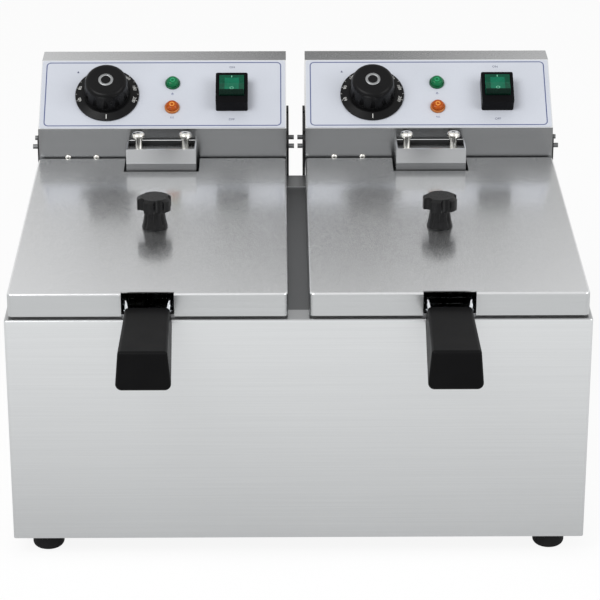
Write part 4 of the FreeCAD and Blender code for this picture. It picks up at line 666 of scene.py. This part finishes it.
# Screw heads: cross recesses instanced where the screws stand. Sizes in mm, turns in radians.
recess = {"length": 5.0, "width": 1.2, "depth": 0.12, "neckX": 25.0, "neckY": 165.0, "neckTop": 312.0,
          "neckTurn": 0.5, "faceX": (-102.0, -71.6), "faceY": 178.8, "faceZ": 278.0, "faceTurn": 0.6,
          "faceShare": 0.62}


def crossTree():
    tree, given = newTree("crossRecesses", {
        "Geometry": "Geometry", "Bar": "Vector", "Turn": "Vector", "Shade": "Material"})
    bar = addNode(tree, "GeometryNodeMeshCube", {"Size": given["Bar"]})
    cross = addNode(tree, "GeometryNodeTransform", {
        "Geometry": bar.outputs[0], "Rotation": (0, 0, math.pi / 2)})
    both = addNode(tree, "GeometryNodeJoinGeometry")
    tree.links.new(bar.outputs[0], both.inputs[0])
    tree.links.new(cross.outputs[0], both.inputs[0])
    points = addNode(tree, "GeometryNodeMeshToPoints", {"Mesh": given["Geometry"]})
    heads = addNode(tree, "GeometryNodeInstanceOnPoints", {
        "Points": points.outputs[0], "Instance": both.outputs[0], "Rotation": given["Turn"]})
    return closeTree(tree, heads.outputs[0], given["Shade"])


crossRecesses = crossTree()


def markScrews(side):
    look = recess
    bar = Vector((look["length"], look["width"], look["depth"])) * mm
    rows = (  # across, behind, above, size of the cross and its turn
        ((-look["neckX"], look["neckX"]), look["neckY"], look["neckTop"], bar, (0, 0, look["neckTurn"])),
        (look["faceX"], look["faceY"], look["faceZ"], bar * look["faceShare"],
         (math.pi / 2, look["faceTurn"], 0)))
    parts = []
    for across, y, z, cross, turn in rows:
        spots = bpy.data.meshes.new("points")
        spots.from_pydata([(unitX[side] + x * mm, y * mm, z * mm) for x in across], [], [])
        crosses = grown(crossRecesses, {"Bar": cross, "Turn": turn, "Shade": finishes["recessShade"]}, spots)
        parts.append((crosses, Matrix.Identity(4)))
    addPiece(side + "_screw_recesses", parts, side + "_head", "recessShade")


for side in unitX:
    markScrews(side)
print("screw heads marked")

# Neck: a hem folded along the foot of its front, dark as painted shade, and a black strip of painted shade
# on the pocket floor, with a bright edge where it meets the head.
neckTrim = {"hemDrop": 16.4, "hem": (9.5, 0.4), "pocket": 8.0, "sheet": 1.5, "pocketShade": (8.4, 2.8),
            "edge": (0.8, 0.5), "edgeLean": 40.0, "corner": 0.4}


def dressNeck(side):
    look = neckTrim
    low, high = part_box(side + "_element_neck")
    middle, width = (low.x + high.x) / 2, high.x - low.x
    inside = width - 2 * look["sheet"] * mm
    floorLevel = high.z - look["pocket"] * mm
    corner = look["corner"] * mm
    upright = Matrix.Rotation(math.pi / 2, 4, "X")
    # the hem takes the dark steel of painted shade
    height, thick = [value * mm for value in look["hem"]]
    hem = flatShape([roundedLoop(width, height, corner)], thick)
    spot = (middle, low.y - thick / 2, high.z - look["hemDrop"] * mm - height / 2)
    addPiece(side + "_neck_hem", [(hem, Matrix.Translation(spot) @ upright)],
             side + "_head", "paintedShadeSteel")
    # painted shade: a black rubber strip on the pocket floor, where the pocket lies dark
    depth, rise = [value * mm for value in look["pocketShade"]]
    pocketShade = flatShape([roundedLoop(inside, depth, corner)], rise)
    spot = (middle, high.y - depth / 2, floorLevel + rise / 2)
    addPiece(side + "_neck_pocket_shade", [(pocketShade, Matrix.Translation(spot))], side + "_head", "rubber")
    height, thick = [value * mm for value in look["edge"]]
    edge = flatShape([roundedLoop(inside, height, corner)], thick)
    spot = (middle, high.y - height / 2, floorLevel + rise + height / 2)
    leaning = Matrix.Rotation(math.radians(90 - look["edgeLean"]), 4, "X")
    addPiece(side + "_neck_edge", [(edge, Matrix.Translation(spot) @ leaning)],
             side + "_head", "neckSteel")


for side in unitX:
    dressNeck(side)
print("necks dressed")

# Basket mesh: rows of bent wires, each row one bent wire instanced along a line.
# A real basket's wires stand closer; at 7 mm they still read as mesh and stay light.
basketWire = {"wire": 1.2, "pitch": 7.0, "bend": 6.0, "bendSteps": 4, "sides": 6}


def wireTree():
    tree, given = newTree("wireRow", {
        "Geometry": "Geometry", "Wire Radius": "Float", "Bend Radius": "Float", "Bend Steps": "Int",
        "Count": "Int", "Step": "Vector", "Sides": "Int", "Wire": "Material"})
    path = addNode(tree, "GeometryNodeMeshToCurve", {"Mesh": given["Geometry"]})
    bent = addNode(tree, "GeometryNodeFilletCurve", {
        "Curve": path.outputs[0], "Radius": given["Bend Radius"], "Count": given["Bend Steps"]}, mode="POLY")
    section = addNode(tree, "GeometryNodeCurvePrimitiveCircle", {
        "Resolution": given["Sides"], "Radius": given["Wire Radius"]})
    wire = addNode(tree, "GeometryNodeCurveToMesh", {
        "Curve": bent.outputs[0], "Profile Curve": section.outputs[0], "Fill Caps": True})
    smooth = addNode(tree, "GeometryNodeSetShadeSmooth", {"Geometry": wire.outputs[0], "Shade Smooth": True})
    line = addNode(tree, "GeometryNodeMeshLine", {"Count": given["Count"], "Offset": given["Step"]})
    row = addNode(tree, "GeometryNodeInstanceOnPoints", {
        "Points": line.outputs[0], "Instance": smooth.outputs[0]})
    return closeTree(tree, row.outputs[0], given["Wire"])


wireRow = wireTree()


def bentWires(look, points, count=1, step=(0, 0, 0), closed=False):  # a row of one bent wire, in metres
    edges = [(k, k + 1) for k in range(len(points) - 1)]
    if closed:
        edges.append((len(points) - 1, 0))
    path = bpy.data.meshes.new("path")
    path.from_pydata(points, edges, [])
    row = grown(wireRow, {
        "Wire Radius": look["wire"] / 2 * mm, "Sides": look["sides"], "Bend Radius": look["bend"] * mm,
        "Bend Steps": look["bendSteps"], "Count": count, "Step": step, "Wire": finishes["chromedWire"]}, path)
    return row, Matrix.Identity(4)


def weaveBasket(side):
    look = basketWire
    low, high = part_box(side + "_basket_mesh")
    wire = look["wire"] * mm
    x0, y0, z0 = low.x + wire / 2, low.y + wire / 2, low.z + wire / 2
    x1, y1, z1 = high.x - wire / 2, high.y - wire / 2, high.z
    spans = (x1 - x0, y1 - y0, z1 - z0)
    counts = [round(span / (look["pitch"] * mm)) - 1 for span in spans]
    steps = [span / (count + 1) for span, count in zip(spans, counts)]
    x, y, z = x0 + steps[0], y0 + steps[1], z0 + steps[2]
    inX, inY = x0 + wire, y0 + wire
    outX, outY = x1 - wire, y1 - wire
    lengthwise = [(x, y0, z1), (x, y0, z0), (x, y1, z0), (x, y1, z1)]
    crosswise = [(x0, y, z1), (x0, y, z0 + wire), (x1, y, z0 + wire), (x1, y, z1)]
    hoop = [(inX, inY, z), (outX, inY, z), (outX, outY, z), (inX, outY, z)]
    parts = [bentWires(look, lengthwise, counts[0], (steps[0], 0, 0)),
             bentWires(look, crosswise, counts[1], (0, steps[1], 0)),
             bentWires(look, hoop, counts[2], (0, 0, steps[2]), True)]
    piece = addPiece(side + "_wire_mesh", parts, side + "_basket", "chromedWire")
    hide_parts(side + "_basket_mesh")


for side in unitX:
    weaveBasket(side)
print("baskets woven")

# Handle rods: each has a hump behind the grip, which catches the light in the lid's notch.
# Points are across, behind the casing's front and above its top, in mm.
rodHump = {"gripGap": 2.5, "gripTop": 13.8, "wire": 4.0, "bend": 4.0, "bendSteps": 4, "sides": 12,
           "route": ((18.6, -7.0, 7.0), (19.4, -1.0, 10.6), (21.0, 8.0, 16.4), (22.4, 13.0, 16.0),
                     (24.4, 25.0, 8.0))}


def humpRods(side):
    look = rodHump
    low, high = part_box(side + "_basket_grip")
    middle = (low.x + high.x) / 2
    front, level = high.y + look["gripGap"] * mm, high.z - look["gripTop"] * mm
    parts = []
    for edge in (-1, 1):
        route = [(middle + edge * x * mm, front + y * mm, level + z * mm) for x, y, z in look["route"]]
        parts.append(bentWires(look, route))
    addPiece(side + "_rod_humps", parts, side + "_basket", "chromedWire")


for side in unitX:
    humpRods(side)
print("handle rods humped")

# Star knob: a fluted skirt round its stem, which widens down to the lid.
knobSkirt = {"foot": 13.0, "edge": 1.4, "corner": 0.4, "stem": 10.4, "rise": 19.8, "flare": 1.7, "core": 7.6,
             "gap": 0.1, "steps": 8, "turns": 96, "flutes": 8, "fluteDepth": 0.13, "fluteNarrow": 5,
             "fluteEnd": 0.5}


def flareKnob(side):
    look = knobSkirt
    low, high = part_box(side + "_lid_knob_screw")
    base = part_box(side + "_lid_knob")[0].z
    profile = [(look["core"], 0.0), (look["foot"] - look["corner"], 0.0), (look["foot"], look["corner"])]
    for k in range(look["steps"] + 1):
        share = k / look["steps"]
        profile.append((look["stem"] + (look["foot"] - look["stem"]) * (1 - share) ** look["flare"],
                        look["edge"] + (look["rise"] - look["edge"]) * share))
    profile.append((look["core"], look["rise"]))
    skirt = turnedShape([(radius * mm, height * mm) for radius, height in profile], look["turns"])
    for point in skirt.vertices:  # each flute runs out at the foot and under the head
        along = min(max((point.co.z / mm - look["edge"]) / (look["rise"] - look["edge"]), 0), 1)
        wave = 0.5 + 0.5 * math.cos(look["flutes"] * math.atan2(point.co.y, point.co.x))
        depth = look["fluteDepth"] * wave ** look["fluteNarrow"]
        point.co.xy *= 1 - depth * math.sin(math.pi * along) ** look["fluteEnd"]
    spot = ((low.x + high.x) / 2, (low.y + high.y) / 2, base + look["gap"] * mm)
    addPiece(side + "_knob_skirt", [(skirt, Matrix.Translation(spot))],
             side + "_lid", "knobPhenolic")


for side in unitX:
    flareKnob(side)
print("star knobs flared")

# Camera at the photograph's place: in front, looking down.
cameraSetting = {"spot": (-0.0182, -2.493, 1.249), "tilt": 66.935, "yaw": -0.485, "lens": 158.0, "sensor": 36}
view = bpy.data.cameras.new("camera")
view.lens = cameraSetting["lens"]
view.sensor_width = cameraSetting["sensor"]
camera = bpy.data.objects.new("camera", view)
camera.location = cameraSetting["spot"]
camera.rotation_euler = (math.radians(cameraSetting["tilt"]), 0, math.radians(cameraSetting["yaw"]))
scene.collection.objects.link(camera)
scene.camera = camera

# Floor: seamless white paper, matt, which keeps the shadow. A share of its white is its own, and in
# reflections that white falls off towards the object as a painted shadow, as a table's does under and beside
# a large box.
floorLook = {"reach": 9.0, "colour": "#f6f6f6", "rough": 0.9, "gloss": 0.1, "ownLight": 0.9, "mirrored": 0.8,
             "paintedShadowLevel": 0.44, "farLight": 0.95, "fallOff": 0.6, "footprint": (0.28, 0.2)}
form = bmesh.new()
bmesh.ops.create_grid(form, x_segments=1, y_segments=1, size=floorLook["reach"])
floorMesh = bpy.data.meshes.new("floor")
form.to_mesh(floorMesh)
form.free()
floor = bpy.data.objects.new("floor", floorMesh)
scene.collection.objects.link(floor)
paper, tree, shader = newFinish("seamlessPaper", {
    "Base Color": linear(floorLook["colour"]), "Roughness": floorLook["rough"],
    "Specular IOR Level": floorLook["gloss"]})
path = addNode(tree, "ShaderNodeLightPath").outputs
place = addNode(tree, "ShaderNodeTexCoord").outputs["Object"]
spot = addNode(tree, "ShaderNodeSeparateXYZ", {0: place}).outputs
# painted shadow: in reflections, the floor's own white is dimmer towards the object's footprint
beside = []
for axis, half in zip("XY", floorLook["footprint"]):
    away = addNode(tree, "ShaderNodeMath", {0: spot[axis]}, operation="ABSOLUTE")
    past = addNode(tree, "ShaderNodeMath", {0: away.outputs[0], 1: half}, operation="SUBTRACT")
    beside.append(past.outputs[0])
away = addNode(tree, "ShaderNodeMath", {0: beside[0], 1: beside[1]}, operation="MAXIMUM")
white = addNode(tree, "ShaderNodeMapRange", {
    "Value": away.outputs[0], "From Min": 0.0, "From Max": floorLook["fallOff"],
    "To Min": floorLook["paintedShadowLevel"], "To Max": floorLook["farLight"]})
white = addNode(tree, "ShaderNodeMath", {0: white.outputs[0], 1: path["Is Camera Ray"]}, operation="MAXIMUM")
ownLight = addNode(tree, "ShaderNodeEmission", {"Color": (1, 1, 1, 1), "Strength": white.outputs[0]})
mirrored = addNode(tree, "ShaderNodeMath", {0: path["Is Glossy Ray"], 1: path["Is Transmission Ray"]},
                   operation="MAXIMUM")
mirrored = addNode(tree, "ShaderNodeMath", {0: mirrored.outputs[0], 1: floorLook["mirrored"]},
                   operation="MULTIPLY")
share = addNode(tree, "ShaderNodeMath", {
    0: path["Is Camera Ray"], 1: floorLook["ownLight"], 2: mirrored.outputs[0]}, operation="MULTIPLY_ADD")
lit = addNode(tree, "ShaderNodeMixShader", {
    0: share.outputs[0], 1: shader.outputs[0], 2: ownLight.outputs[0]})
tree.links.new(lit.outputs[0], tree.nodes["Material Output"].inputs["Surface"])
floorMesh.materials.append(paper)

# Grey card behind the heads, seen only as a reflection: it shades the inner sides of the lids.
# Its felt is densest in the middle, and clears towards its ends and its upper edge.
cardLook = {"x": 0.06, "y": 1.3, "halfWidth": 0.65, "low": 0.3, "high": 1.2, "tone": "#303030", "depth": 0.98,
            "core": 0.06, "sides": 0.1, "fadeFrom": 0.76, "fadeTo": 1.06}
cardMesh = bpy.data.meshes.new("card")
cardMesh.from_pydata([(cardLook["x"] + x * cardLook["halfWidth"], cardLook["y"], cardLook[z])
                      for x, z in ((-1, "low"), (1, "low"), (1, "high"), (-1, "high"))], [], [(0, 1, 2, 3)])
card = bpy.data.objects.new("card", cardMesh)
scene.collection.objects.link(card)
for ray in ("visible_camera", "visible_diffuse", "visible_transmission", "visible_shadow"):
    setattr(card, ray, False)
felt, tree, shader = newFinish("greyFelt", {"Base Color": linear(cardLook["tone"])})
place = addNode(tree, "ShaderNodeTexCoord").outputs["Object"]
spot = addNode(tree, "ShaderNodeSeparateXYZ", {0: place})
across = addNode(tree, "ShaderNodeMath", {0: spot.outputs["X"], 1: cardLook["x"]}, operation="SUBTRACT")
across = addNode(tree, "ShaderNodeMath", {0: across.outputs[0]}, operation="ABSOLUTE")
across = addNode(tree, "ShaderNodeMapRange", {
    "Value": across.outputs[0], "From Min": cardLook["core"], "From Max": cardLook["halfWidth"],
    "To Min": 1.0, "To Max": cardLook["sides"]})
upward = addNode(tree, "ShaderNodeMapRange", {
    "Value": spot.outputs["Z"], "From Min": cardLook["fadeFrom"], "From Max": cardLook["fadeTo"],
    "To Min": cardLook["depth"], "To Max": 0.0})
dense = addNode(tree, "ShaderNodeMath", {0: across.outputs[0], 1: upward.outputs[0]}, operation="MULTIPLY")
clear = addNode(tree, "ShaderNodeBsdfTransparent")
shade = addNode(tree, "ShaderNodeEmission", {"Color": linear(cardLook["tone"]), "Strength": 1.0})
soft = addNode(tree, "ShaderNodeMixShader", {0: dense.outputs[0], 1: clear.outputs[0], 2: shade.outputs[0]})
tree.links.new(soft.outputs[0], tree.nodes["Material Output"].inputs["Surface"])
cardMesh.materials.append(felt)

# World: white where it is seen or mirrored, softer as light.
worldLook = {"seen": 1.0, "light": 0.55}
world = bpy.data.worlds.new("studio")
world.use_nodes = True
scene.world = world
tree = world.node_tree
backdrop = tree.nodes["Background"]
backdrop.inputs["Color"].default_value = (1, 1, 1, 1)
path = addNode(tree, "ShaderNodeLightPath").outputs
seen = addNode(tree, "ShaderNodeMath", {0: path["Is Camera Ray"], 1: path["Is Glossy Ray"]},
               operation="MAXIMUM")
seen = addNode(tree, "ShaderNodeMath", {0: seen.outputs[0], 1: path["Is Transmission Ray"]},
               operation="MAXIMUM")
level = addNode(tree, "ShaderNodeMapRange", {
    "Value": seen.outputs[0], "To Min": worldLook["light"], "To Max": worldLook["seen"]})
tree.links.new(level.outputs[0], backdrop.inputs["Strength"])

# Two soft round lamps, both aimed at the middle of the fryer.
lampAim = Vector((0, 0, 0.2))
lamps = {"key": {"spot": (-1.3, -1.6, 2.4), "width": 1.8, "power": 42.0},
         "fill": {"spot": (1.8, -1.2, 1.6), "width": 1.6, "power": 16.0}}
for name, look in lamps.items():
    lamp = bpy.data.lights.new(name, "AREA")
    lamp.shape = "DISK"
    lamp.size = look["width"]
    lamp.energy = look["power"]
    lampObject = bpy.data.objects.new(name, lamp)
    lampObject.location = look["spot"]
    lampObject.rotation_euler = (lampAim - Vector(look["spot"])).to_track_quat("-Z", "Y").to_euler()
    scene.collection.objects.link(lampObject)
scene.view_settings.view_transform = "Standard"
print("camera and light set")
